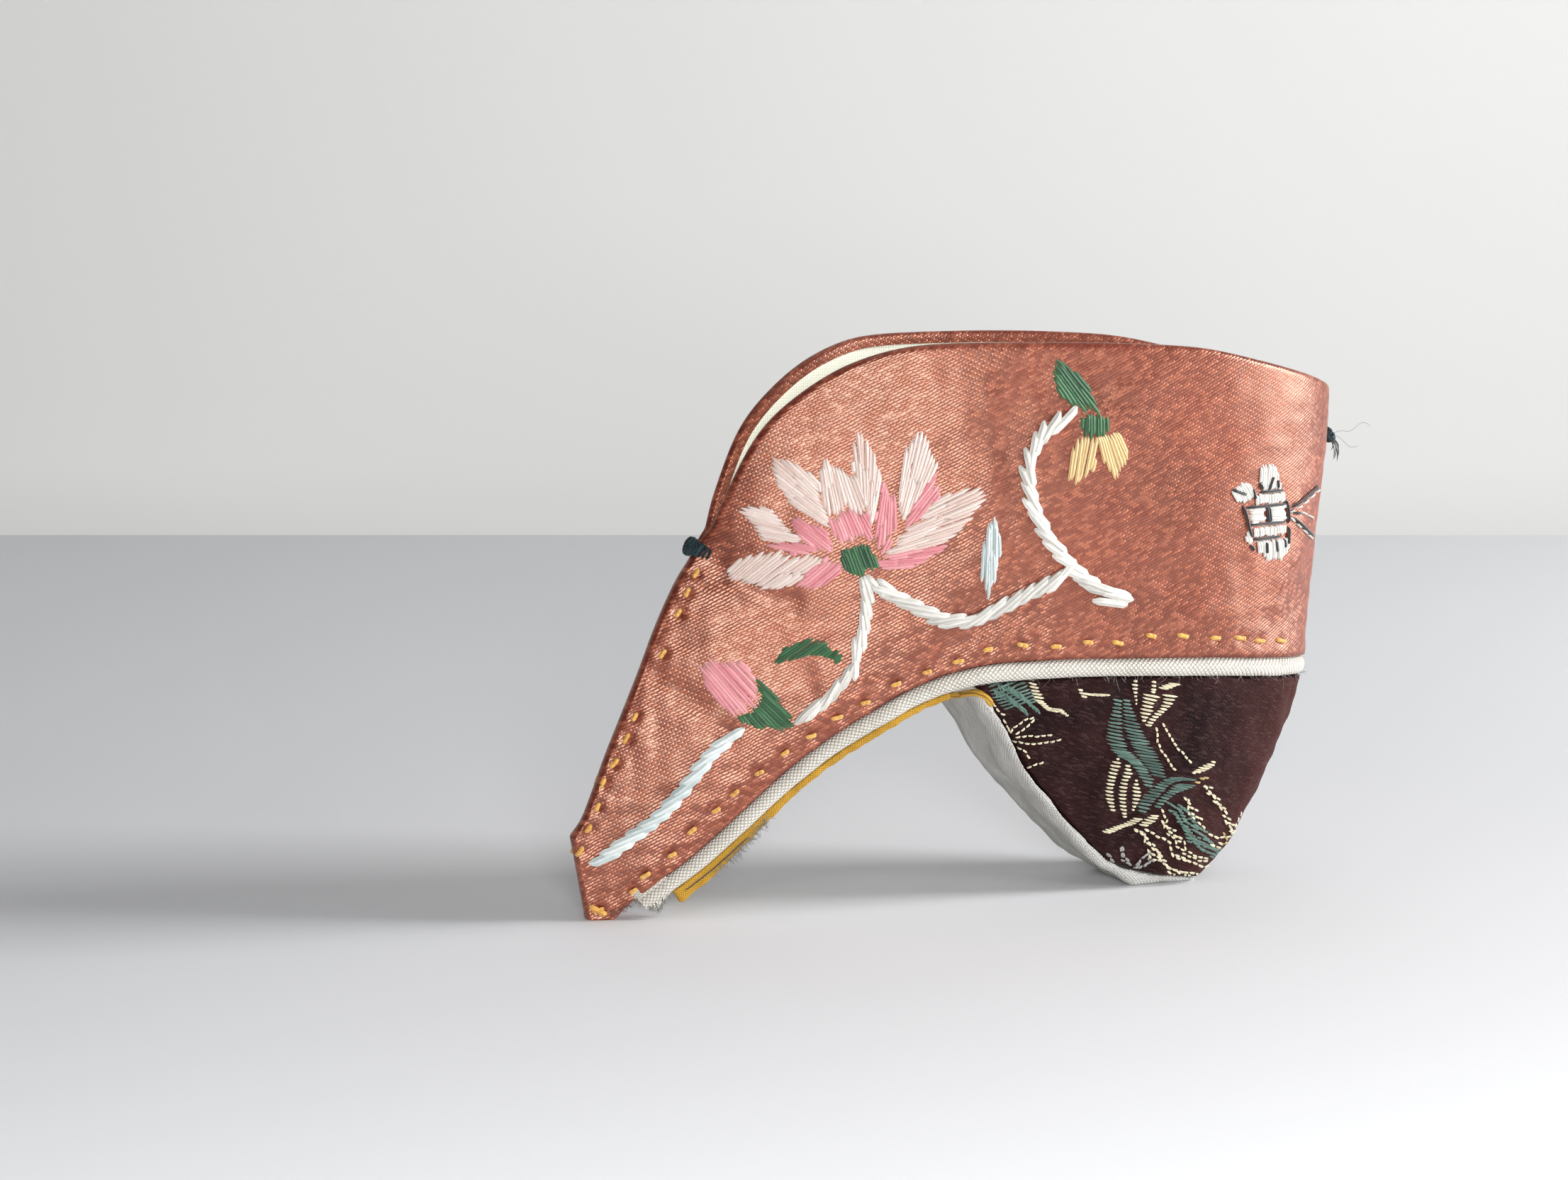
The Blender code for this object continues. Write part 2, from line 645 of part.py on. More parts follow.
def front_knot():
    """Thread wound over the front seam where the collar opens, as a flat bead with a leg on each side."""
    shell = Shell()
    out, sideways = seam_outward(THROAT_T), Vector((0.0, -1.0, 0.0))
    upright = out.cross(sideways).normalized()
    middle = rim_point(THROAT_T)
    middle.y = 0.0
    off = GAP + LEAST_CAVITY + KNOT_THREAD_RADIUS
    left = []
    for angle in spread(0.0, math.pi / 2, 5):
        away = (out * math.cos(angle) + sideways * math.sin(angle)).normalized()
        reach = out * (math.cos(angle) * (SEAM_CROWN + off)) + sideways * (math.sin(angle) * (SEAM_HALF + off))
        left.append((middle + reach, away))
    end = beside_throat(FRONT_KNOT_LEG)
    along = end - rim_point(THROAT_T)
    away = along.cross(upright).normalized()
    away = away if away.y < 0 else -away
    for depth in spread(0.0, FRONT_KNOT_LEG, 4)[1:]:
        left.append((beside_throat(depth) + away * off, away))
    right = [(mirrored(centre), mirrored(away)) for centre, away in left[:0:-1]]
    path = right + left
    frames = [(away, upright * KNOT_STRETCH) for _, away in path]
    tube(shell, [centre for centre, _ in path], frames, [KNOT_THREAD_RADIUS] * len(path), KNOT_SIDES)
    return make_object("front_knot", shell, TEAL_THREAD, 60)


def back_wall_run(height):
    """The run of the back seam's outer face at a height."""
    low, high = 0.0, 1.0
    for _ in range(40):
        middle = (low + high) / 2
        low, high = (middle, high) if wall_point(1.0, middle).z < height else (low, middle)
    return wall_point(1.0, low).x


def back_knot_centre():
    run = back_wall_run(BACK_KNOT_HEIGHT) + GAP + BACK_KNOT_RADII[0]
    return Vector((run, 0.0, BACK_KNOT_HEIGHT))


def back_knot():
    """The thread knot on the back seam."""
    made = bmesh.new()
    bmesh.ops.create_uvsphere(made, u_segments=14, v_segments=8, radius=1.0)
    for vertex in made.verts:
        scaled = [c * r for c, r in zip(vertex.co, BACK_KNOT_RADII)]
        vertex.co = back_knot_centre() + Vector(scaled)
    shell = Shell()
    shell.points = [v.co.copy() for v in made.verts]
    shell.faces = [[v.index for v in f.verts] for f in made.faces]
    made.free()
    return make_object("back_knot", shell, TEAL_THREAD, 60)


def main():
    for old in list(bpy.data.objects):
        bpy.data.objects.remove(old)
    frame = bpy.data.objects.new("shoe_frame", None)
    bpy.context.scene.collection.objects.link(frame)
    frame.location.x = -(back_knot_centre().x + BACK_KNOT_RADII[0]) / 2

    upper()
    piping()
    sole()
    heel()
    insole()
    for side, hand in ((-1, "left"), (1, "right")):
        edge_tape(f"front_tape_{hand}", side, TAPE_START, TAPE_JOIN - GAP, TAPE_FOLD_HEIGHT, TAPE_JOIN_HEIGHT)
        edge_tape(f"rear_tape_{hand}", side, TAPE_JOIN, TAPE_END, TAPE_REAR_HEIGHT, TAPE_REAR_HEIGHT)
    front_knot()
    back_knot()


main()
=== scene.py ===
"""Looks of the lotus shoe: satin, lining, piping, cotton, brocade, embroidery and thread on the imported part.

Metres, in the frame's own axes: +X runs from the toe to the heel, +Y is the far side and +Z is up. A "run" is
a distance back from the toe's front. Places that follow the photograph are in its pixels. The camera casts
them on the near side, and the far side mirrors them. Widths and rises of threads are in metres.
"""

import math
from collections import namedtuple

import bpy
import numpy as np
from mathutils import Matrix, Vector
from mathutils.bvhtree import BVHTree


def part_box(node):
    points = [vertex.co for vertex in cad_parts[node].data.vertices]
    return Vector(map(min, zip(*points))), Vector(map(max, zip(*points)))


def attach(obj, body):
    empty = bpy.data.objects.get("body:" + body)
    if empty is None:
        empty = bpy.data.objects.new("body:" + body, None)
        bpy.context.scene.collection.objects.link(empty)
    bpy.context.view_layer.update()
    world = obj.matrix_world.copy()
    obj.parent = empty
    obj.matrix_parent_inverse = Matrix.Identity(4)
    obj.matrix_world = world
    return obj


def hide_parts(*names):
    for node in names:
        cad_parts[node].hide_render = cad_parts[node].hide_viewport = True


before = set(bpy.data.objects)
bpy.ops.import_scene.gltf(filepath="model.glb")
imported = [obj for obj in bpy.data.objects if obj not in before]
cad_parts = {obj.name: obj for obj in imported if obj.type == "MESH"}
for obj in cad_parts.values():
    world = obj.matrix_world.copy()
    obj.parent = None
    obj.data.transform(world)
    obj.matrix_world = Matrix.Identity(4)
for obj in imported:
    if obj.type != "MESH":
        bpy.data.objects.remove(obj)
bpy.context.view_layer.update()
rng = np.random.default_rng(7)

# Photograph and camera
PHOTO_SIZE = (2212, 1665)
FOCAL_PIXELS = 5000
SENSOR_WIDTH = 36
CAMERA_YAW = math.radians(19.66)
CAMERA_PITCH = math.radians(7.77)
CAMERA_FROM_TOE = Vector((-0.1481, -0.5116, 0.1236))
TABLE_EDGE_ROW = 755

# Sizes of the shoe, as in the model's source
LENGTH = 0.1275
HEIGHT = 0.0880
SEAT_HEIGHT = 0.0389
COLLAR_WIDTH = 0.0340
FOOT_WIDTH = 0.0318
BULGE = 0.0020
WALL = 0.0015
SEAM_HALF = 0.0013
SEAM_CROWN = 0.0005
FACING_DEPTH = 0.0009  # below the turned edge
FACING_STEP = 0.0005
TOE_FOLD_RUN = 0.0100
PIPING_START = 0.0096
PIPING_TOE_RADIUS = 0.00115
PIPING_HEEL_RADIUS = 0.00160
PIPING_PROUD = 0.0004
GAP = 0.0003

# Sections from the toe to the back seam, as in the model's source: shares of the sizes above
Section = namedtuple("Section", "foot_run foot_z foot_w rim_run rim_z rim_w bulge")
SECTIONS = [
    Section(0.022, 0.000, 0.085, 0.004, 0.147, 0.076, 0.00),
    Section(0.045, 0.000, 0.130, 0.018, 0.175, 0.076, 0.15),
    Section(0.067, 0.067, 0.182, 0.033, 0.227, 0.076, 0.30),
    Section(0.100, 0.152, 0.258, 0.048, 0.284, 0.076, 0.45),
    Section(0.142, 0.257, 0.340, 0.068, 0.352, 0.076, 0.60),
    Section(0.192, 0.406, 0.434, 0.090, 0.427, 0.076, 0.80),
    Section(0.242, 0.560, 0.528, 0.112, 0.507, 0.076, 0.95),
    Section(0.293, 0.692, 0.616, 0.137, 0.582, 0.076, 1.00),
    Section(0.344, 0.797, 0.692, 0.164, 0.645, 0.076, 1.00),
    Section(0.387, 0.879, 0.755, 0.189, 0.739, 0.190, 0.95),
    Section(0.427, 0.936, 0.811, 0.226, 0.845, 0.306, 0.90),
    Section(0.462, 0.969, 0.855, 0.275, 0.916, 0.430, 0.80),
    Section(0.501, 0.990, 0.900, 0.335, 0.968, 0.576, 0.70),
    Section(0.548, 0.997, 0.937, 0.407, 0.996, 0.753, 0.60),
    Section(0.603, 1.000, 0.969, 0.489, 1.000, 0.876, 0.50),
    Section(0.666, 0.995, 0.994, 0.580, 0.999, 0.959, 0.45),
    Section(0.729, 0.987, 1.000, 0.674, 0.994, 1.000, 0.40),
    Section(0.791, 0.977, 0.981, 0.768, 0.983, 0.994, 0.40),
    Section(0.850, 0.961, 0.893, 0.854, 0.957, 0.918, 0.35),
    Section(0.909, 0.943, 0.704, 0.929, 0.930, 0.700, 0.30),
    Section(0.952, 0.928, 0.396, 0.980, 0.908, 0.388, 0.25),
    Section(0.967, 0.923, 0.000, 1.000, 0.899, 0.000, 0.20),
]
THROAT_ROW = 8
ODD_COLUMNS = ("foot_w", "rim_w")
TOE = Vector((-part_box("back_knot")[1].x, 0.0, 0.0))  # where runs start, below the toe's front

# The upper's shape


def column_slopes(values, odd):
    """Slopes for a curve through a column's rows that doesn't overshoot. The back seam mirrors the rows."""
    ghost = -values[-2] if odd else values[-2]
    padded = np.concatenate([[2 * values[0] - values[1]], values, [ghost]])
    left, right = np.diff(padded)[:-1], np.diff(padded)[1:]
    limit = 3 * np.minimum(abs(left), abs(right))
    mean = np.clip((left + right) / 2, -limit, limit)
    return np.where(left * right <= 0, 0.0, mean)


COLUMNS = {name: np.array([getattr(row, name) for row in SECTIONS]) for name in Section._fields}
COLUMN_SLOPES = {name: column_slopes(values, name in ODD_COLUMNS) for name, values in COLUMNS.items()}
THROAT_T = THROAT_ROW / (len(SECTIONS) - 1)


def share(name, t):
    place = np.clip(t, 0.0, 1.0) * (len(SECTIONS) - 1)
    i = np.minimum(place.astype(int), len(SECTIONS) - 2)
    f = place - i
    a, b = COLUMNS[name][i], COLUMNS[name][i + 1]
    slope_a, slope_b = COLUMN_SLOPES[name][i], COLUMN_SLOPES[name][i + 1]
    ease = f * f * (3 - 2 * f)
    return a + (b - a) * ease + slope_a * f * (1 - f) ** 2 - slope_b * f * f * (1 - f)


def rim_half(t):
    open_half = COLLAR_WIDTH / 2 * share("rim_w", t)
    open_half = np.where(t > 0.5, open_half, np.maximum(SEAM_HALF, open_half))
    return np.where(t <= THROAT_T, SEAM_HALF, open_half)


def foot_point(t):
    half = FOOT_WIDTH / 2 * share("foot_w", t)
    return np.stack([TOE.x + LENGTH * share("foot_run", t), -half, SEAT_HEIGHT * share("foot_z", t)], -1)


def rim_point(t):
    return np.stack([TOE.x + LENGTH * share("rim_run", t), -rim_half(t), HEIGHT * share("rim_z", t)], -1)


def unit(v):
    return v / np.maximum(np.linalg.norm(v, axis=-1, keepdims=True), 1e-12)


def turn(point_of, t):
    step = 0.002
    along = unit(point_of(np.minimum(t + step, 1.0)) - point_of(np.maximum(t - step, 0.0)))
    return np.where((t > 1.0 - step)[..., None], np.array([0.0, 1.0, 0.0]), along)


def outward(t):
    along = turn(foot_point, t) + turn(rim_point, t)
    return unit(np.stack([along[..., 1], -along[..., 0], 0 * along[..., 0]], -1))


def below(t):
    return unit(np.cross(turn(foot_point, t), outward(t)))


def wall_point(t, v):
    """The left side's outer face at station t and height v."""
    swell = BULGE * share("bulge", t) * 4 * v * (1 - v)
    v = v[..., None]
    return foot_point(t) * (1 - v) + rim_point(t) * v + outward(t) * swell[..., None]


def seam_outward(t):
    """The direction in the middle plane that points away from the front seam."""
    along = turn(rim_point, t)
    return unit(np.stack([-along[..., 2], 0 * along[..., 0], along[..., 0]], -1))


def piping_radius(t):
    return PIPING_TOE_RADIUS + (PIPING_HEEL_RADIUS - PIPING_TOE_RADIUS) * t


def piping_centre(t):
    radius = piping_radius(t)[..., None]
    return foot_point(t) + below(t) * (radius + GAP) + outward(t) * (PIPING_PROUD - radius)


def station_at(run):
    t = np.linspace(0.0, 1.0, 4001)
    return float(np.interp(run, LENGTH * share("foot_run", t), t))


# Camera rays and the near side's surfaces

CAMERA_PLACE = TOE + CAMERA_FROM_TOE
LOOK = Vector((
    math.sin(CAMERA_YAW) * math.cos(CAMERA_PITCH),
    math.cos(CAMERA_YAW) * math.cos(CAMERA_PITCH),
    -math.sin(CAMERA_PITCH),
))
SIDE = Vector((math.cos(CAMERA_YAW), -math.sin(CAMERA_YAW), 0.0))
UP = SIDE.cross(LOOK)


def pixel_ray(px, py):
    """The direction in which the camera sees a pixel of the photograph."""
    across = (px - PHOTO_SIZE[0] / 2) / FOCAL_PIXELS
    down = (py - PHOTO_SIZE[1] / 2) / FOCAL_PIXELS
    return (LOOK + SIDE * across - UP * down).normalized()


def pixel_hit(surface, px, py):
    """Where the camera sees a surface at a pixel: (place, outward normal), or None past its edge."""
    place, normal, _, _ = surface.ray_cast(CAMERA_PLACE, pixel_ray(px, py))
    if place is None:
        return None
    return place, (normal if normal.dot(pixel_ray(px, py)) < 0 else -normal)


# Meshes


class Soup:
    """Vertices, faces and face UVs of one piece, gathered before it becomes an object."""

    def __init__(self):
        self.points = []
        self.faces = []
        self.uvs = []
        self.tints = []
        self.count = 0

    def grid(self, points, uv, closed=False, tint=0.5, flip=False):
        """A sheet of quads over points[i, j], with uv[i, j]. closed joins the last column to the first."""
        rows, cols = points.shape[:2]
        self.points.append(points.reshape(-1, 3))
        i, j = np.meshgrid(np.arange(rows - 1), np.arange(cols if closed else cols - 1), indexing="ij")
        i, j = i.ravel(), j.ravel()
        k = (j + 1) % cols
        quad = np.stack([i * cols + j, i * cols + k, (i + 1) * cols + k, (i + 1) * cols + j], -1)
        if flip:
            quad = quad[:, ::-1]
        self.faces.append(quad + self.count)
        self.uvs.append(uv.reshape(-1, 2))
        self.tints.append(np.broadcast_to(tint, (rows, cols)).ravel())
        self.count += rows * cols

    def make(self, name, material):
        points = np.concatenate(self.points)
        faces = np.concatenate(self.faces)
        uvs = np.concatenate(self.uvs)
        tints = np.concatenate(self.tints)
        mesh = bpy.data.meshes.new(name)
        mesh.from_pydata(points.tolist(), [], faces.tolist())
        layer = mesh.uv_layers.new(name="cloth")
        layer.data.foreach_set("uv", uvs[faces.ravel()].astype(np.float32).ravel())
        tint = mesh.attributes.new("tint", "FLOAT", "POINT")
        tint.data.foreach_set("value", tints.astype(np.float32))
        mesh.shade_smooth()
        return place_mesh(name, mesh, material)


def place_mesh(name, mesh, material):
    made = bpy.data.objects.new(name, mesh)
    bpy.context.scene.collection.objects.link(made)
    made.data.materials.append(material)
    return made


def mirrored(points):
    return points * np.array([1.0, -1.0, 1.0])


def surface_of(points):
    """A tree for casting rays on a grid of points."""
    rows, cols = points.shape[:2]
    i, j = np.meshgrid(np.arange(rows - 1), np.arange(cols - 1), indexing="ij")
    i, j = i.ravel(), j.ravel()
    quads = np.stack([i * cols + j, (i + 1) * cols + j, (i + 1) * cols + j + 1, i * cols + j + 1], -1)
    return BVHTree.FromPolygons([Vector(p) for p in points.reshape(-1, 3)], quads.tolist())


def distance_along(path):
    """The distance from a path's start to each of its places."""
    return np.concatenate([[0.0], np.cumsum(np.linalg.norm(np.diff(path, axis=0), axis=1))])


# Materials


class Nodes:
    """Short calls for building a material's node tree."""

    def __init__(self, name):
        self.material = bpy.data.materials.new(name)
        self.material.use_nodes = True
        self.tree = self.material.node_tree
        self.shader = self.tree.nodes["Principled BSDF"]

    def add(self, kind, **settings):
        node = self.tree.nodes.new(kind)
        for key, value in settings.items():
            setattr(node, key, value)
        return node

    def link(self, value, socket):
        if isinstance(value, (int, float)):
            socket.default_value = value
        elif isinstance(value, tuple):
            socket.default_value = value if len(value) == len(socket.default_value) else (*value, 1.0)
        else:
            self.tree.links.new(value, socket)

    def math(self, operation, a, b=0.0, c=0.0):
        node = self.add("ShaderNodeMath", operation=operation)
        for value, socket in zip((a, b, c), node.inputs):
            self.link(value, socket)
        return node.outputs[0]

    def mix(self, factor, a, b):
        node = self.add("ShaderNodeMix", data_type="RGBA")
        self.link(factor, node.inputs["Factor"])
        self.link(a, node.inputs["A"])
        self.link(b, node.inputs["B"])
        return node.outputs["Result"]

    def uv(self, angle=0.0):
        """(along, across) in metres on the cloth, turned by an angle in degrees."""
        source = self.add("ShaderNodeUVMap", uv_map="cloth")
        turned = self.add("ShaderNodeVectorRotate", rotation_type="Z_AXIS")
        self.link(source.outputs[0], turned.inputs["Vector"])
        self.link(math.radians(angle), turned.inputs["Angle"])
        split = self.add("ShaderNodeSeparateXYZ")
        self.link(turned.outputs[0], split.inputs[0])
        return split.outputs[0], split.outputs[1]

    def noise(self, scale, detail=3.0, stretch=None, space="Object"):
        source = self.add("ShaderNodeTexCoord").outputs[space]
        if stretch:
            squeeze = self.add("ShaderNodeMapping")
            self.link(source, squeeze.inputs["Vector"])
            squeeze.inputs["Scale"].default_value = stretch
            source = squeeze.outputs[0]
        node = self.add("ShaderNodeTexNoise")
        self.link(source, node.inputs["Vector"])
        node.inputs["Scale"].default_value = scale
        node.inputs["Detail"].default_value = detail
        return node.outputs["Fac"]

    def random(self, a, b):
        """A number from 0 to 1 for each pair of whole numbers."""
        pair = self.add("ShaderNodeCombineXYZ")
        self.link(a, pair.inputs[0])
        self.link(b, pair.inputs[1])
        node = self.add("ShaderNodeTexWhiteNoise", noise_dimensions="3D")
        self.link(pair.outputs[0], node.inputs[0])
        return node.outputs["Value"]

    def ramp(self, value, low, high):
        """value brought from low..high to 0..1, and kept there."""
        node = self.add("ShaderNodeMapRange")
        self.link(value, node.inputs["Value"])
        node.inputs["From Min"].default_value = low
        node.inputs["From Max"].default_value = high
        return node.outputs["Result"]

    def bump(self, height, distance, strength=1.0, under=None):
        node = self.add("ShaderNodeBump")
        node.inputs["Distance"].default_value = distance
        node.inputs["Strength"].default_value = strength
        self.link(height, node.inputs["Height"])
        if under is not None:
            self.link(under, node.inputs["Normal"])
        return node.outputs[0]

    def dashes(self, along, across, length, pitch, shift):
        """Staggered threads: (height from 0 to 1, a number for each dash)."""
        row_place = self.math("DIVIDE", across, pitch)
        row = self.math("FLOOR", row_place)
        place = self.math("ADD", self.math("DIVIDE", along, length), self.math("MULTIPLY", row, shift))
        cell = self.math("FLOOR", place)
        in_row = self.math("FRACT", row_place)
        in_cell = self.math("FRACT", place)
        arch = self.math("SINE", self.math("MULTIPLY", in_row, math.pi))
        ends = self.math("SUBTRACT", 1.0, self.math("POWER", self.math("ABSOLUTE", self.math(
            "MULTIPLY_ADD", in_cell, 2.0, -1.0)), 4.0))
        return self.math("MULTIPLY", arch, ends), self.random(row, cell)

    def weave(self, along, across, pitch):
        """A plain weave: threads pass over and under in turn, as a height from 0 to 1."""
        u = self.math("DIVIDE", along, pitch)
        v = self.math("DIVIDE", across, pitch)
        over = self.math("MODULO", self.math("ABSOLUTE", self.math(
            "ADD", self.math("FLOOR", u), self.math("FLOOR", v))), 2.0)
        round_u = self.math("SINE", self.math("MULTIPLY", self.math("FRACT", u), math.pi))
        round_v = self.math("SINE", self.math("MULTIPLY", self.math("FRACT", v), math.pi))
        warp = self.yarn(round_u, round_v)
        weft = self.yarn(round_v, round_u)
        return self.math("ADD", self.math("MULTIPLY", warp, over), self.math(
            "MULTIPLY", weft, self.math("SUBTRACT", 1.0, over)))

    def yarn(self, own, other):
        """One yarn's height: round across itself, and lower where it goes under the other."""
        return self.math("MULTIPLY", self.math("POWER", own, 0.7), self.math("MULTIPLY_ADD", other, 0.6, 0.4))

    def place(self):
        """(x, y, z) in metres in the shoe's own axes."""
        split = self.add("ShaderNodeSeparateXYZ")
        self.link(self.add("ShaderNodeTexCoord").outputs["Object"], split.inputs[0])
        return split.outputs

    def set(self, **inputs):
        for name, value in inputs.items():
            self.link(value, self.shader.inputs[name.replace("_", " ")])
        return self.material


SATIN_DARK = (0.135, 0.016, 0.010)
SATIN_MID = (0.240, 0.038, 0.022)
# Painted shade for the gaps between the satin's floats
SATIN_GAP_SHADE = (0.06, 0.008, 0.006)
SATIN_GLINT = (0.75, 0.24, 0.13)
SATIN_SPECULAR = (1.0, 0.58, 0.42, 1.0)
SATIN_SHEEN = (1.0, 0.55, 0.42, 1.0)
BROCADE_DARK = (0.008, 0.0026, 0.0032)
BROCADE_LIGHT = (0.036, 0.0105, 0.0105)
# Red-brown of the heel's back: wear, with a painted sheen in it
BROCADE_WORN_AND_SHEEN = (0.13, 0.036, 0.028)
BROCADE_FLECK = (0.10, 0.05, 0.05)
BROCADE_SHEEN = (0.85, 0.35, 0.30, 1.0)


def satin():
    """Salmon silk satin: short slanting floats with a bright, broken sheen."""
    n = Nodes("salmon_satin")
    along, across = n.uv(-27.0)
    across = n.math("ADD", across, n.math("MULTIPLY", n.noise(300.0, 2.0), 0.0006))
    height, cell = n.dashes(along, across, 0.00095, 0.00045, 0.37)
    patch = n.noise(60.0, 4.0)
    wide = n.noise(28.0, 2.0)
    base = n.mix(n.ramp(patch, 0.35, 0.65), SATIN_DARK, SATIN_MID)
    # The gaps between the floats are darker: painted shade.
    gap_shaded = n.mix(n.math("MULTIPLY_ADD", height, 0.85, 0.15), SATIN_GAP_SHADE, base)
    colour = n.mix(n.math("MULTIPLY", n.math("POWER", cell, 2.0), 0.32), gap_shaded, SATIN_GLINT)
    lift = n.math("MULTIPLY", height, n.math("MULTIPLY_ADD", cell, 0.7, 0.3))
    normal = n.bump(lift, 0.00005, 1.0, n.bump(patch, 0.0005, 0.35))
    rough = n.math("MULTIPLY_ADD", wide, 0.10, 0.29)
    return n.set(
        Base_Color=colour, Roughness=rough, Normal=normal, IOR=1.95, Specular_IOR_Level=0.68,
        Specular_Tint=SATIN_SPECULAR, Sheen_Weight=0.08, Sheen_Roughness=0.4,
        Sheen_Tint=SATIN_SHEEN,
    )


def cotton(name, light, dark, pitch, relief, angle=0.0, roughness=0.9, sheen=0.2):
    """A plain woven cotton."""
    n = Nodes(name)
    along, across = n.uv(angle)
    height = n.weave(along, across, pitch)
    patch = n.noise(120.0, 4.0)
    shade = n.math("MULTIPLY_ADD", n.ramp(patch, 0.35, 0.65), 0.25, n.math("MULTIPLY", height, 0.75))
    fuzz = n.noise(2500.0, 2.0)
    normal = n.bump(fuzz, 0.00004, 1.0, n.bump(height, relief, 1.0))
    return n.set(
        Base_Color=n.mix(shade, dark, light), Roughness=roughness, Normal=normal, Sheen_Weight=sheen,
        Sheen_Roughness=0.5, Specular_IOR_Level=0.25,
    )


def brocade():
    """Dark brown ground with a fine matted pile, worn to red-brown at the back, where a painted sheen also
    lightens it.
    """
    n = Nodes("dark_brocade")
    along, across = n.uv(18.0)
    height, cell = n.dashes(along, across, 0.0009, 0.00024, 0.43)
    tufts = n.noise(1500.0, 4.0, (1.0, 1.0, 0.7))
    patch = n.noise(130.0, 5.0)
    ground = n.mix(n.ramp(patch, 0.32, 0.68), BROCADE_DARK, BROCADE_LIGHT)
    x, _, z = n.place()
    # Lighter and redder towards the back: partly wear, partly painted sheen.
    wear_and_painted_light = n.ramp(n.math("MULTIPLY_ADD", z, -0.45, x), 0.028, 0.056)
    ground = n.mix(n.math("MULTIPLY", wear_and_painted_light, 0.6), ground, BROCADE_WORN_AND_SHEEN)
    fleck = n.math("MULTIPLY", n.math("POWER", cell, 5.0), 0.5)
    colour = n.mix(fleck, ground, BROCADE_FLECK)
    normal = n.bump(n.math("ADD", n.math("MULTIPLY", height, 0.6), tufts), 0.00022, 1.0)
    return n.set(
        Base_Color=colour, Roughness=0.75, Normal=normal, Sheen_Weight=0.05, Sheen_Roughness=0.45,
        Sheen_Tint=BROCADE_SHEEN, Specular_IOR_Level=0.12,
    )


def floss(name, light, dark, roughness=0.5, sheen=0.35, strands=5.0):
    """Untwisted silk or cotton thread: filaments run along each stitch, and each stitch has its own shade."""
    n = Nodes(name)
    _, across = n.uv()
    tint = n.add("ShaderNodeAttribute", attribute_name="tint").outputs["Fac"]
    waver = n.math("MULTIPLY", n.noise(900.0, 2.0), 1.6)
    lines = n.math("SINE", n.math("ADD", n.math("MULTIPLY", across, strands * 2 * math.pi), waver))
    height = n.math("MULTIPLY_ADD", lines, 0.5, 0.5)
    shade = n.math("ADD", n.math("MULTIPLY", tint, 0.7), n.math("MULTIPLY", height, 0.3))
    normal = n.bump(height, 0.00011, 1.0)
    return n.set(
        Base_Color=n.mix(shade, dark, light), Roughness=roughness, Normal=normal, Sheen_Weight=sheen,
        Sheen_Roughness=0.4, Specular_IOR_Level=0.4,
    )


# Stitches

END_FADE = 0.0005
FLOSS_WIDTH = 0.00062
FLOSS_RISE = 0.00026
FLOAT_WIDTH = 0.00036
FLOAT_RISE = 0.00016
FLOAT_STEP = 5.3  # pixels between floats that lie side by side
FLOAT_LENGTH = 8  # pixels of a float in a chain
SHORTEST_STITCH = 8
STITCH_OVERLAP = 5


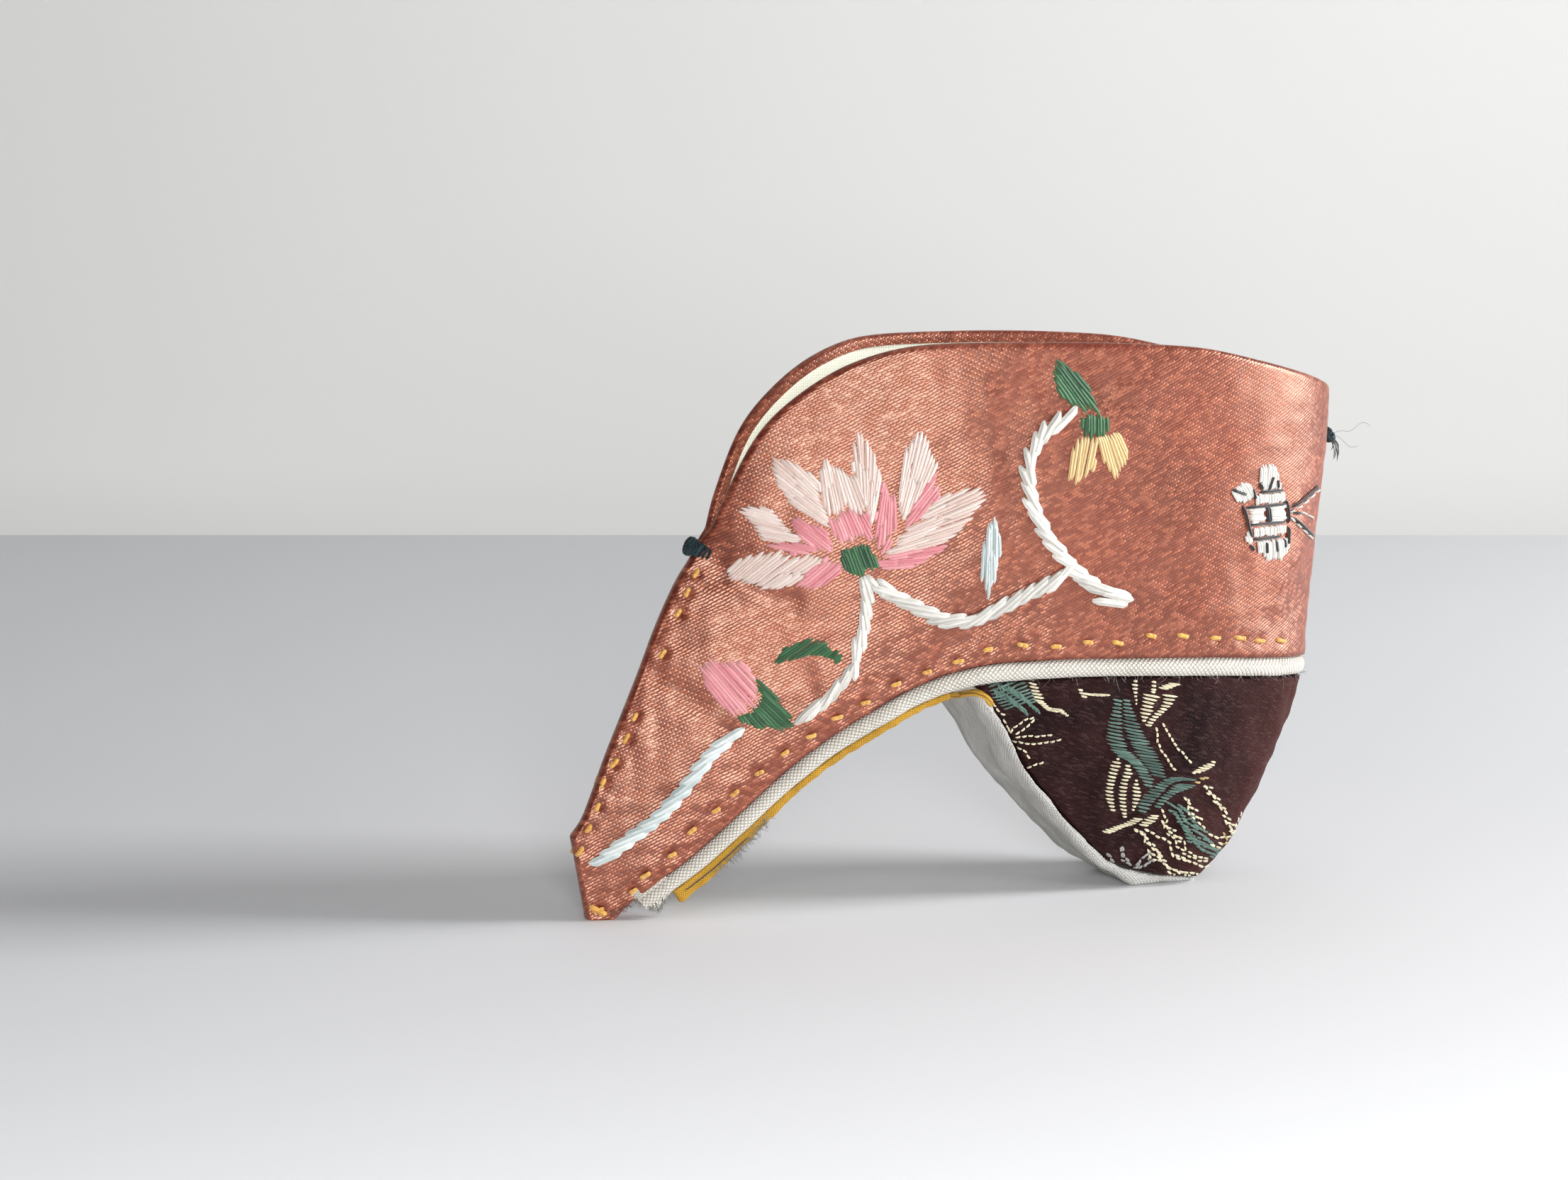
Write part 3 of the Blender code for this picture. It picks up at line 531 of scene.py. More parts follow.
class Stitches:
    """Thread laid on a surface, with its mirror image on the far side."""

    def __init__(self, surface, lift=0.0):
        self.near = Soup()
        self.surface = surface
        self.lift = lift

    def thread(self, pixels, width, rise, sides=7, taper=0.35):
        """One stitch through pixels of the photograph. Its ends dip into the cloth."""
        found = [pixel_hit(self.surface, x, y) for x, y in pixels]
        found = [f for f in found if f is not None]
        if len(found) < 3:
            return
        places = np.array([f[0] for f in found])
        normals = unit(np.array([f[1] for f in found]))
        count = len(places)
        s = np.linspace(0.0, 1.0, count)
        arch = np.clip(np.sin(math.pi * s) * 2.2, 0.0, 1.0)
        along = unit(np.gradient(places, axis=0))
        across = unit(np.cross(along, normals))
        size = taper + (1 - taper) * np.sqrt(arch)
        centre = places + normals * (self.lift + rise * (arch - 0.35))[:, None]
        angles = np.linspace(0.0, 2 * math.pi, sides, endpoint=False) - math.pi / 2
        ring = (
            across[:, None] * (np.cos(angles)[None, :, None] * (width / 2 * size)[:, None, None])
            + normals[:, None] * (np.sin(angles)[None, :, None] * (rise * 0.75 * size)[:, None, None])
        )
        points = centre[:, None] + ring
        total = np.linalg.norm(np.diff(places, axis=0), axis=1).sum()
        uv = np.stack(np.broadcast_arrays((s * total)[:, None], (angles / (2 * math.pi))[None, :]), -1)
        end = np.minimum(s, 1 - s) * total
        tint = rng.uniform(0.15, 1.0) + 0.8 * np.exp(-((end / END_FADE) ** 2))[:, None]
        self.near.grid(points, uv, True, tint, flip=True)
        self.near.grid(mirrored(points), uv, True, tint)

    def line(self, start, end, width, rise, bow=0.0, points=7):
        """A straight stitch between two pixels, bowed sideways by a few pixels."""
        start, end = np.array(start, float), np.array(end, float)
        s = np.linspace(0.0, 1.0, points)[:, None]
        across = unit(np.array([-(end - start)[1], (end - start)[0]]))
        self.thread(start + (end - start) * s + across * np.sin(math.pi * s) * bow, width, rise)

    def fill(self, outline, start_angle, end_angle, spacing=4.4, longest=95, ragged=5.0):
        """Satin stitch inside an outline of pixels, turning from one angle to the other across it."""
        outline = np.array(outline, float)
        middle = outline.mean(0)
        mean = math.radians((start_angle + end_angle) / 2)
        across = np.array([-math.sin(mean), math.cos(mean)])
        reach = (outline - middle) @ across
        offsets = np.arange(reach.min() + spacing * 0.5, reach.max(), spacing)
        for offset in offsets:
            f = (offset - reach.min()) / max(reach.max() - reach.min(), 1e-6)
            angle = math.radians(start_angle + (end_angle - start_angle) * f)
            along = np.array([math.cos(angle), math.sin(angle)])
            crossed = crossings(outline, middle + across * offset, along)
            for low, high in zip(crossed[::2], crossed[1::2]):
                if high - low < SHORTEST_STITCH:
                    continue
                parts = max(1, math.ceil((high - low) / longest))
                cuts = np.linspace(low, high, parts + 1)
                cuts[1:-1] += rng.uniform(-14, 14, parts - 1)
                for a, b in zip(cuts, cuts[1:]):
                    a = a + rng.uniform(-ragged, ragged) * 0.6 - (STITCH_OVERLAP if a > low else 0)
                    b = b + rng.uniform(-ragged, ragged) + (STITCH_OVERLAP if b < high else 0)
                    if b - a < SHORTEST_STITCH:
                        continue
                    origin = middle + across * (offset + rng.uniform(-0.8, 0.8))
                    tilt = rng.uniform(-0.02, 0.02) * (b - a)
                    tall = FLOSS_RISE * rng.uniform(0.85, 1.2)
                    self.line(origin + along * a, origin + along * b + across * tilt, FLOSS_WIDTH, tall)

    def rope(self, path, length, half, step, width, rise, lean=1):
        """Stem stitch along a path of pixels: long slanting stitches, each a little further on."""
        places, directions = walk(path, step)
        for place, direction in zip(places, directions):
            across = np.array([-direction[1], direction[0]]) * lean
            reach = length / 2 * rng.uniform(0.9, 1.1)
            start = place - direction * reach - across * half
            end = place + direction * reach + across * half
            self.line(start, end, width, rise * rng.uniform(0.9, 1.15), bow=rng.uniform(-1.0, 1.0))

    def ladder(self, rungs, angle):
        """Short woven floats side by side, at one angle. rungs are (x, y, length) in pixels."""
        rungs = np.array(rungs, float)
        places, _ = walk(rungs[:, :2], FLOAT_STEP)
        travelled = distance_along(rungs[:, :2])
        reach = np.interp(np.arange(len(places)) * FLOAT_STEP, travelled, rungs[:, 2])
        for place, size in zip(places, reach):
            turned = math.radians(angle + rng.uniform(-4, 4))
            half = np.array([math.cos(turned), math.sin(turned)]) * size / 2 * rng.uniform(0.95, 1.2)
            self.line(place - half, place + half, FLOAT_WIDTH, FLOAT_RISE, points=5)

    def chain(self, path, length=FLOAT_LENGTH, width=FLOAT_WIDTH, rise=FLOAT_RISE, drift=0.0):
        """Floats end to end along a path of pixels."""
        places, directions = walk(path, length)
        for place, direction in zip(places, directions):
            across = np.array([-direction[1], direction[0]]) * rng.uniform(-drift, drift)
            half = direction * length * 0.42
            self.line(place + across - half, place + across + half, width, rise, points=5)


def crossings(outline, origin, along):
    """Distances along a line where it crosses a closed outline, in order."""
    across = np.array([-along[1], along[0]])
    side = (outline - origin) @ across
    reach = (outline - origin) @ along
    found = []
    for i in range(len(outline)):
        j = (i + 1) % len(outline)
        if (side[i] > 0) != (side[j] > 0):
            f = side[i] / (side[i] - side[j])
            found.append(reach[i] + (reach[j] - reach[i]) * f)
    return sorted(found)


def walk(path, step):
    """Places every step along a smooth path, and the directions there."""
    path = np.array(path, float)
    travelled = distance_along(path)
    fine = np.linspace(0.0, travelled[-1], 200)
    smooth = np.stack([np.interp(fine, travelled, path[:, k]) for k in (0, 1)], -1)
    if len(path) > 3:
        for _ in range(12):
            smooth[1:-1] = (smooth[:-2] + smooth[2:] + 2 * smooth[1:-1]) / 4
    at = np.arange(0.0, travelled[-1] + step * 0.5, step)
    places = np.stack([np.interp(at, fine, smooth[:, k]) for k in (0, 1)], -1)
    slope = np.gradient(smooth, axis=0)
    directions = np.stack([np.interp(at, fine, slope[:, k]) for k in (0, 1)], -1)
    return places, unit(directions)


def placed(path, close_up):
    """A close-up's places in pixels of the whole photograph."""
    x, y, zoom = close_up
    return [(x + p[0] / zoom, y + p[1] / zoom, *[size / zoom for size in p[2:]]) for p in path]


# The satin

STATIONS = 300
WALL_ROWS = 96
ROLL_ROWS = 10
FACING_ROWS = 6
HEM_ROWS = 6
CROWN_COLUMNS = 4
ROLL_RADIUS = (WALL + FACING_STEP) / 2
HEM_DEPTH = 0.0013
THROAT_BLEND = 0.02
BACK_FLARE = 0.00045
TOE_FOLD_BLEND = 0.03
SATIN_WAVES = ((0.0110, 9, 3, 0.00016), (0.0045, 12, 5, 0.00006))  # length, count, seed and rise
PUCKER_RISE = 0.00008
PUCKER_REACH = 0.0016
PUCKER_WIDTH = 0.0009
STITCH_DENT = 0.00028
STITCH_DENT_WIDTH = 0.0008

# Creases and dents of the near side: pixels along each, then its width and rise in metres, a trough below 0
CREASES = [
    ([(1000, 800), (1060, 830), (1120, 850)], 0.0022, -0.00035),
    ([(930, 960), (990, 1000), (1030, 1040)], 0.0020, -0.00030),
    ([(1100, 900), (1130, 960), (1140, 1010)], 0.0030, 0.00030),
    ([(1330, 930), (1380, 890), (1450, 870)], 0.0025, -0.00030),
    ([(1560, 880), (1640, 860), (1740, 870)], 0.0030, 0.00030),
    ([(1600, 700), (1650, 760), (1660, 830)], 0.0040, -0.00030),
    ([(1840, 640), (1850, 720), (1850, 820)], 0.0040, -0.00035),
    ([(1380, 560), (1400, 640), (1380, 700)], 0.0040, 0.00030),
]

# Running stitches of the near side, in pixels: along the front seam, and along the lower edge
FRONT_STITCHES = [
    (982, 809), (970, 836), (957, 865), (935, 923), (896, 1012), (884, 1042), (867, 1077), (850, 1105),
    (843, 1139), (830, 1169), (818, 1201),
]
LOWER_STITCHES = [
    (844, 1284), (893, 1257), (910, 1235), (948, 1206), (976, 1172), (1010, 1143), (1036, 1119),
    (1071, 1090), (1107, 1062), (1144, 1038), (1181, 1012), (1221, 991), (1264, 965), (1308, 948),
    (1352, 933), (1394, 916), (1443, 910), (1490, 912), (1535, 906), (1577, 907), (1624, 897), (1669, 897),
    (1715, 900), (1750, 900), (1777, 904), (1807, 904),
]
TOE_STITCH = [(831, 1278), (857, 1291)]


def smooth_step(x):
    x = np.clip(x, 0.0, 1.0)
    return x * x * (3 - 2 * x)


def satin_points():
    """The satin's left side, as points[station, row], from the hem in the lower edge to the facing's edge."""
    t = np.linspace(0.0, 1.0, STATIONS)
    tall = np.linalg.norm(rim_point(t) - foot_point(t), axis=-1)
    opened = smooth_step((t - THROAT_T) / THROAT_BLEND)
    top = 1 - opened * ROLL_RADIUS / tall
    out = outward(t)
    foot = foot_point(t)
    folded = 1 - smooth_step((t - station_at(TOE_FOLD_RUN)) / TOE_FOLD_BLEND)
    columns = []
    for k in range(HEM_ROWS, 0, -1):
        part = k / HEM_ROWS
        inset = foot - out * (HEM_DEPTH * part)
        closed = foot * np.array([1.0, 1 - part, 1.0])
        column = inset * (1 - folded[:, None]) + closed * folded[:, None]
        column[:, 1] = np.minimum(column[:, 1], 0.0)
        columns.append(column)
    for v in np.linspace(0.0, 1.0, WALL_ROWS + 1):
        columns.append(wall_point(t, v * top))
    upward = unit(wall_point(t, top) - wall_point(t, top - 0.03))
    centre = wall_point(t, top) - out * ROLL_RADIUS
    crown = seam_outward(t)
    rim = rim_point(t)
    for k in range(1, ROLL_ROWS + 1):
        angle = math.pi * k / ROLL_ROWS
        rolled = centre + out * (ROLL_RADIUS * math.cos(angle)) + upward * (ROLL_RADIUS * math.sin(angle))
        quarter = angle / 2
        ridge = rim * np.array([1.0, math.cos(quarter), 1.0]) + crown * (SEAM_CROWN * math.sin(quarter))
        columns.append(join(rolled, ridge, opened))
    for k in range(1, FACING_ROWS + 1):
        depth = FACING_DEPTH * k / FACING_ROWS
        inside = wall_point(t, top - depth / tall) - out * (2 * ROLL_RADIUS)
        ridge = rim * np.array([1.0, 0.0, 1.0]) + crown * SEAM_CROWN
        columns.append(join(inside, ridge, opened))
    points = np.stack(columns, 1)
    points[:, :, 1] = np.minimum(points[:, :, 1], 0.0)
    front = []
    for k in range(CROWN_COLUMNS, 0, -1):
        quarter = math.pi / 2 * k / CROWN_COLUMNS
        edge = points[0] * np.array([1.0, math.cos(quarter), 1.0])
        lift = np.ones(len(edge)) * SEAM_CROWN * math.sin(quarter)
        lift[: HEM_ROWS + 1] = 0.0
        edge[:, 0] -= lift * (HEM_ROWS + WALL_ROWS >= np.arange(len(edge)))
        front.append(edge)
    return np.concatenate([np.stack(front), points])


def join(opened_points, closed_points, opened):
    opened_points = opened_points.copy()
    opened_points[:, 1] = np.minimum(opened_points[:, 1], 0.0)
    return opened_points * opened[:, None] + closed_points * (1 - opened[:, None])


def grid_normals(points):
    """Normals of a grid, away from the middle of the shoe's left side."""
    along = np.gradient(points, axis=0)
    up = np.gradient(points, axis=1)
    return unit(np.cross(along, up))


def waves(points, length, count, seed):
    """A smooth random height from about -1 to 1."""
    source = np.random.default_rng(seed)
    height = np.zeros(points.shape[:-1])
    for _ in range(count):
        direction = unit(source.normal(size=3)) * 2 * math.pi / (length * source.uniform(0.7, 1.6))
        height += np.cos(points @ direction + source.uniform(0, 2 * math.pi))
    return height / math.sqrt(count)


def distance_to(points, places):
    """The distance from each grid point to the nearest of the places on a path."""
    best = np.full(points.shape[:-1], np.inf)
    for place in places:
        best = np.minimum(best, ((points - place) ** 2).sum(-1))
    return np.sqrt(best)


def shaped_satin():
    """The satin with its creases, its puckers at the stitches and its slack above the piping."""
    points = satin_points()
    base = surface_of(points)
    normals = grid_normals(points)
    rows = np.arange(points.shape[1])
    wall = ((rows >= HEM_ROWS) & (rows <= HEM_ROWS + WALL_ROWS)).astype(float)
    soft = smooth_step((rows - HEM_ROWS) / 10) * smooth_step((HEM_ROWS + WALL_ROWS + 4 - rows) / 14)
    clear = smooth_step((np.abs(points[:, :, 1]) - 0.0004) / 0.0016)
    height = sum(waves(points, length, count, seed) * rise for length, count, seed, rise in SATIN_WAVES)
    for path, width, rise in CREASES:
        hits = [pixel_hit(base, x, y) for x, y in walk(path, 8)[0]]
        places = [np.array(h[0]) for h in hits if h]
        if places:
            height += rise * np.exp(-((distance_to(points, places) / width) ** 2))
    height *= soft[None, :]
    for x, y in FRONT_STITCHES + LOWER_STITCHES:
        hit = pixel_hit(base, x, y)
        if hit:
            away = distance_to(points, [np.array(hit[0])])
            height += PUCKER_RISE * np.exp(-(((away - PUCKER_REACH) / PUCKER_WIDTH) ** 2)) * wall[None, :]
            height -= STITCH_DENT * np.exp(-((away / STITCH_DENT_WIDTH) ** 2)) * wall[None, :]
    station = np.clip(np.arange(points.shape[0]) - CROWN_COLUMNS, 0, None) / (STATIONS - 1)
    low = np.exp(-(((rows - HEM_ROWS) / 7.0) ** 2)) * (rows >= HEM_ROWS)
    height += BACK_FLARE * smooth_step((station - 0.55) / 0.2)[:, None] * low[None, :]
    return points + normals * (height * clear)[..., None]


def cloth_uv(points):
    """(along, up) in metres for a wall grid. along is the run, let out where the wall turns at the back."""
    middle = points[:, points.shape[1] // 2]
    around = distance_along(middle[:, :2])
    extra = around - np.concatenate([[0.0], np.cumsum(np.abs(np.diff(middle[:, 0])))])
    along = points[:, :, 0] + extra[:, None]
    return np.stack([along, points[:, :, 2]], -1)


SATIN = satin()
satin_left = shaped_satin()
SATIN_SURFACE = surface_of(satin_left)
soup = Soup()
soup.grid(satin_left, cloth_uv(satin_left), flip=True)
soup.grid(mirrored(satin_left), cloth_uv(satin_left))
upper = soup.make("upper_satin", SATIN)
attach(upper, "root")
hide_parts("upper")

# The lining

LINING_ROWS = 40
LINING = cotton(
    "lining_cotton", (0.95, 0.94, 0.82), (0.76, 0.76, 0.62), 0.00042, 0.00005, roughness=0.85, sheen=0.25
)


def lining_points():
    t = np.linspace(station_at(TOE_FOLD_RUN), 1.0, 200)
    tall = np.linalg.norm(rim_point(t) - foot_point(t), axis=-1)
    opened = smooth_step((t - THROAT_T) / THROAT_BLEND)
    top = 1 - opened * (FACING_DEPTH + ROLL_RADIUS - 0.0004) / tall
    columns = []
    for v in np.linspace(0.0, 1.0, LINING_ROWS):
        inside = wall_point(t, v * top) - outward(t) * (WALL + 0.0001)
        inside[:, 1] = np.minimum(inside[:, 1], np.where(t < 0.5, -0.00004, 0.0))
        columns.append(inside)
    return np.stack(columns, 1)


lining = lining_points()
inner_side = waves(lining, 0.009, 8, 11)[..., None] * 0.00012 * grid_normals(lining)
lining = lining + inner_side * smooth_step(np.abs(lining[:, :, 1]) / 0.003)[..., None]
soup = Soup()
soup.grid(lining, cloth_uv(lining))
soup.grid(mirrored(lining), cloth_uv(lining), flip=True)
piece = soup.make("upper_lining", LINING)
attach(piece, "root")

# The piping

PIPING_ROWS = 460
PIPING_SIDES = 28
PIPING_CLOTH = cotton(
    "piping_cotton", (0.96, 0.92, 0.83), (0.46, 0.41, 0.34), 0.00055, 0.00030, angle=45.0, roughness=0.9
)
t = np.linspace(station_at(PIPING_START), 1.0, PIPING_ROWS)
angles = math.pi + np.linspace(0.0, 2 * math.pi, PIPING_SIDES, endpoint=False)
centre, radius = piping_centre(t), piping_radius(t)
spine = distance_along(centre)
ring = (
    outward(t)[:, None] * np.cos(angles)[None, :, None] + below(t)[:, None] * np.sin(angles)[None, :, None]
)
lump = 1 + 0.02 * waves(centre, 0.006, 6, 21)[:, None]
lump = lump + 0.012 * waves(centre[:, None] + ring * 0.004, 0.004, 8, 22)
points = centre[:, None] + ring * (radius[:, None] * lump)[..., None]
points[:, :, 1] = np.minimum(points[:, :, 1], 0.0)
uv = np.stack(np.broadcast_arrays(spine[:, None], (angles * 0.0013)[None, :]), -1)
soup = Soup()
soup.grid(points, uv, True)
soup.grid(mirrored(points), uv, True, flip=True)
cap = np.stack([points[0], centre[0] + (points[0] - centre[0]) * 0.02])
for side, turned in ((cap, True), (mirrored(cap), False)):
    soup.grid(side, np.stack([uv[0], uv[0] * 0.2]), True, flip=turned)
piece = soup.make("piping_cloth", PIPING_CLOTH)
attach(piece, "root")
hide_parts("piping")

# The solid pieces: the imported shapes, rounded and given their cloth


def clothed(node, voxel, relax, lumps, material, stretch=1.0):
    """A finer copy of a node's mesh, with soft edges, an uneven surface and cloth laid on from each side."""
    copy = bpy.data.objects.new("work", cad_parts[node].data.copy())
    copy.matrix_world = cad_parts[node].matrix_world
    bpy.context.scene.collection.objects.link(copy)
    remesh = copy.modifiers.new("remesh", "REMESH")
    remesh.mode = "VOXEL"
    remesh.voxel_size = voxel
    smooth = copy.modifiers.new("smooth", "SMOOTH")
    smooth.factor = 0.5
    smooth.iterations = relax
    made = bpy.data.meshes.new_from_object(copy.evaluated_get(bpy.context.evaluated_depsgraph_get()))
    made.transform(copy.matrix_world)
    bpy.data.objects.remove(copy)
    count = len(made.vertices)
    places = np.empty(count * 3, np.float32)
    made.vertices.foreach_get("co", places)
    places = places.reshape(-1, 3).astype(float)
    normals = np.empty(count * 3, np.float32)
    made.vertices.foreach_get("normal", normals)
    normals = normals.reshape(-1, 3)
    height = sum(waves(places, length, 10, seed) * rise for seed, (length, rise) in enumerate(lumps, 31))
    places = places + normals * height[:, None]
    places = places.mean(0) + (places - places.mean(0)) * stretch
    made.vertices.foreach_set("co", places.astype(np.float32).ravel())
    lay_cloth(made, places)
    made.materials.clear()
    made.shade_smooth()
    return place_mesh(f"{node}_cloth", made, material)


def lay_cloth(mesh, places):
    """UVs in metres, laid on from the side that each face looks to."""
    for layer in list(mesh.uv_layers):
        mesh.uv_layers.remove(layer)
    layer = mesh.uv_layers.new(name="cloth")
    loops = np.empty(len(mesh.loops), np.int32)
    mesh.loops.foreach_get("vertex_index", loops)
    sizes = np.empty(len(mesh.polygons), np.int32)
    mesh.polygons.foreach_get("loop_total", sizes)
    facing = np.empty(len(mesh.polygons) * 3, np.float32)
    mesh.polygons.foreach_get("normal", facing)
    side = np.repeat(np.argmax(np.abs(facing.reshape(-1, 3)), axis=1), sizes)
    corner = places[loops]
    uv = np.stack([
        np.where(side == 0, corner[:, 1], corner[:, 0]),
        np.where(side == 2, corner[:, 1], corner[:, 2]),
    ], -1)
    layer.data.foreach_set("uv", uv.astype(np.float32).ravel())


def sole_cotton():
    """White cotton, grubby and darkened by painted shade on the underside between the turned edges."""
    n = Nodes("white_cotton")
    along, across = n.uv(45.0)
    height = n.weave(along, across, 0.00040)
    _, y, z = n.place()
    half_width = n.math("MULTIPLY_ADD", z, 0.115, 0.0072)
    edge = n.math("SUBTRACT", n.math("ABSOLUTE", y), half_width)
    wear_and_painted_light = n.math("ADD", edge, n.math("MULTIPLY_ADD", n.noise(200.0, 4.0), 0.0016, -0.0008))
    # The weave's hollows are darker: painted shade.
    clean_lit_rim = n.mix(height, (0.56, 0.54, 0.50), (0.95, 0.93, 0.89))
    # The underside between the turned edges is darker: partly dirt, partly painted shade.
    grubby_and_shaded = n.mix(n.ramp(n.noise(150.0, 5.0), 0.3, 0.7), (0.52, 0.51, 0.48), (0.70, 0.69, 0.65))
    normal = n.bump(n.noise(2500.0, 2.0), 0.00004, 1.0, n.bump(height, 0.00022, 1.0))
    return n.set(
        Base_Color=n.mix(n.ramp(wear_and_painted_light, -0.0004, 0.0010), grubby_and_shaded, clean_lit_rim), Roughness=0.9, Normal=normal,
        Sheen_Weight=0.15, Sheen_Roughness=0.5, Specular_IOR_Level=0.25,
    )


WHITE_COTTON = sole_cotton()
PALE_COTTON = cotton("insole_cotton", (0.80, 0.81, 0.74), (0.60, 0.62, 0.55), 0.00045, 0.00007)
TAPE = cotton("yellow_tape", (0.69, 0.39, 0.045), (0.36, 0.18, 0.02), 0.00034, 0.00012, 0.0, 0.8, 0.05)
BROCADE = brocade()
TAPE_STRETCH = np.array([1.045, 1.0, 1.045])
TAPE_NARROWING = {"front": 0.80, "rear": 0.92}


def narrowed(piece, share):
    """Draws a tape's lower edge up towards the piping."""
    mesh = piece.data
    t = np.linspace(0.0, 1.0, 400)
    centres = piping_centre(t)
    for vertex in mesh.vertices:
        place = np.array(vertex.co)
        own_side = centres if place[1] < 0 else mirrored(centres)
        k = int(np.argmin(((own_side - place) ** 2).sum(-1)))
        away = place - own_side[k]
        reach = float(np.linalg.norm(away))
        radius = float(piping_radius(t[k]))
        vertex.co = own_side[k] + away / reach * (radius + (reach - radius) * share)


# Each row: the node, the voxel size, rounds of smoothing, (length, rise) of its lumps, and the cloth
SOLIDS = [
    ("sole", 0.00040, 3, [(0.008, 0.00014), (0.003, 0.00005)], WHITE_COTTON),
    ("insole", 0.00050, 2, [(0.010, 0.00010)], PALE_COTTON),
    ("heel", 0.00040, 5, [(0.009, 0.00016), (0.0028, 0.00007)], BROCADE),
]
for node in ("front_tape_left", "front_tape_right", "rear_tape_left", "rear_tape_right"):
    SOLIDS.append((node, 0.00022, 3, [(0.003, 0.00008)], TAPE))
cloths = {}
for node, voxel, relax, lumps, material in SOLIDS:
    piece = clothed(node, voxel, relax, lumps, material, TAPE_STRETCH if "tape" in node else 1.0)
    if "tape" in node:
        narrowed(piece, TAPE_NARROWING[node.split("_")[0]])
    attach(piece, "root")
    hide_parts(node)
    cloths[node] = piece


def tree_of(*pieces):
    """A tree for casting rays on one or more pieces."""
    places, faces = [], []
    for piece in pieces:
        first = len(places)
        places += [v.co.copy() for v in piece.data.vertices]
        faces += [[first + k for k in p.vertices] for p in piece.data.polygons]
    return BVHTree.FromPolygons(places, faces)


HEEL_SURFACE = tree_of(cloths["heel"])

# The embroidery: outlines and paths in pixels of the photograph, or of a close-up of it. A close-up is the
# pixel of its corner and its enlargement. After an outline come the angles of its first and last stitch.

FLOWER_CLOSE_UP = (1020, 590, 4.6875)
PETALS_WHITE = [
    ([(312, 290), (345, 258), (385, 260), (470, 298), (590, 368), (634, 430), (655, 560), (692, 650),
     (720, 762), (640, 704), (560, 645), (470, 602), (428, 560), (385, 480), (340, 420), (330, 360),
     (306, 312)], 47, 32),
    ([(96, 595), (150, 575), (260, 588), (345, 620), (404, 690), (452, 745), (525, 790), (515, 818),
     (440, 815), (360, 822), (236, 802), (212, 750), (182, 690), (126, 642)], 20, 9),
    ([(685, 258), (702, 298), (732, 308), (772, 332), (812, 352), (872, 382), (904, 420), (934, 500),
     (960, 596), (900, 650), (830, 605), (760, 650), (705, 675), (676, 620), (650, 520), (636, 440),
     (636, 390), (646, 320)], 66, 84),
    ([(905, 68), (928, 120), (948, 150), (972, 202), (1004, 248), (1020, 310), (1044, 340), (1064, 400),
     (1044, 480), (1014, 600), (992, 725), (950, 600), (908, 440), (866, 360), (854, 240), (866, 110)], 101,
     79),
    ([(1312, 64), (1338, 85), (1354, 120), (1369, 180), (1390, 240), (1415, 300), (1409, 372), (1354, 434),
     (1294, 524), (1244, 604), (1218, 664), (1190, 684), (1171, 600), (1161, 520), (1181, 380), (1196, 220),
     (1236, 150)], 117, 96),
    ([(1739, 455), (1734, 544), (1650, 656), (1556, 759), (1500, 806), (1402, 846), (1300, 874),
     (1200, 886), (1090, 906), (1080, 886), (1128, 852), (1158, 798), (1198, 738), (1288, 688), (1318, 618),
     (1400, 556), (1500, 506), (1590, 469)], 165, 151),
    ([(30, 1010), (56, 958), (108, 928), (200, 902), (310, 886), (380, 876), (402, 900), (520, 902),
     (640, 908), (684, 920), (640, 965), (560, 1015), (520, 1065), (470, 1106), (400, 1120), (350, 1140),
     (280, 1136), (180, 1104), (108, 1090), (46, 1075)], -42, -32),
]
PETALS_PINK = [
    ([(452, 650), (482, 636), (560, 688), (650, 718), (702, 758), (740, 872), (720, 894), (640, 862),
     (560, 832), (496, 772), (466, 720)], 38, 38),
    ([(296, 835), (360, 822), (480, 828), (560, 838), (640, 868), (655, 892), (560, 904), (480, 898),
     (400, 872), (326, 852)], 12, 12),
    ([(701, 670), (760, 636), (830, 586), (900, 636), (958, 616), (988, 700), (994, 795), (940, 804),
     (870, 795), (830, 835), (790, 844), (738, 775), (706, 700)], 61, 71),
    ([(1060, 416), (1090, 440), (1099, 500), (1134, 502), (1144, 600), (1164, 700), (1159, 764),
     (1130, 804), (1084, 794), (1054, 864), (1008, 854), (997, 780), (1006, 650), (1036, 560), (1046, 480)],
     85, 103),
    ([(1098, 772), (1124, 768), (1114, 830), (1064, 902), (1028, 928), (1036, 880)], 117, 117),
    ([(1408, 370), (1419, 390), (1404, 440), (1440, 458), (1434, 522), (1394, 562), (1334, 604),
     (1294, 654), (1244, 714), (1202, 734), (1206, 690), (1236, 620), (1286, 530), (1346, 440)], 128, 128),
    ([(1072, 916), (1100, 902), (1200, 884), (1300, 874), (1400, 844), (1474, 835), (1484, 852),
     (1424, 893), (1300, 928), (1200, 934), (1100, 934)], 170, 170),
    ([(1016, 945), (1060, 933), (1200, 933), (1364, 922), (1369, 942), (1324, 968), (1200, 988),
     (1100, 998), (1040, 988), (1016, 966)], 176, 176),
    ([(680, 918), (772, 938), (804, 980), (794, 1012), (722, 1074), (642, 1114), (580, 1134), (480, 1114),
     (520, 1060), (560, 1010), (640, 960)], -39, -39),
]
FLOWER_CENTRE = [
    (772, 868), (870, 838), (930, 816), (964, 850), (1004, 920), (1030, 972), (985, 1010), (950, 994),
    (925, 1046), (850, 1054), (811, 1000), (781, 930),
]
STEM_END = [((1520, 822), (1597, 841)), ((1540, 847), (1592, 853)), ((1548, 833), (1600, 847))]
STEM_STARTS = [
    [(912, 1048), (930, 1130), (946, 1225)], [(930, 1040), (962, 1130), (990, 1230)],
    [(945, 1036), (1010, 1110), (1070, 1190)], [(1015, 1062), (1100, 1120), (1190, 1200)],
]
MAIN_STEM = [
    (1256, 836), (1272, 846), (1296, 858), (1328, 872), (1359, 876), (1391, 866), (1423, 851),
    (1455, 835), (1487, 820), (1505, 808),
]
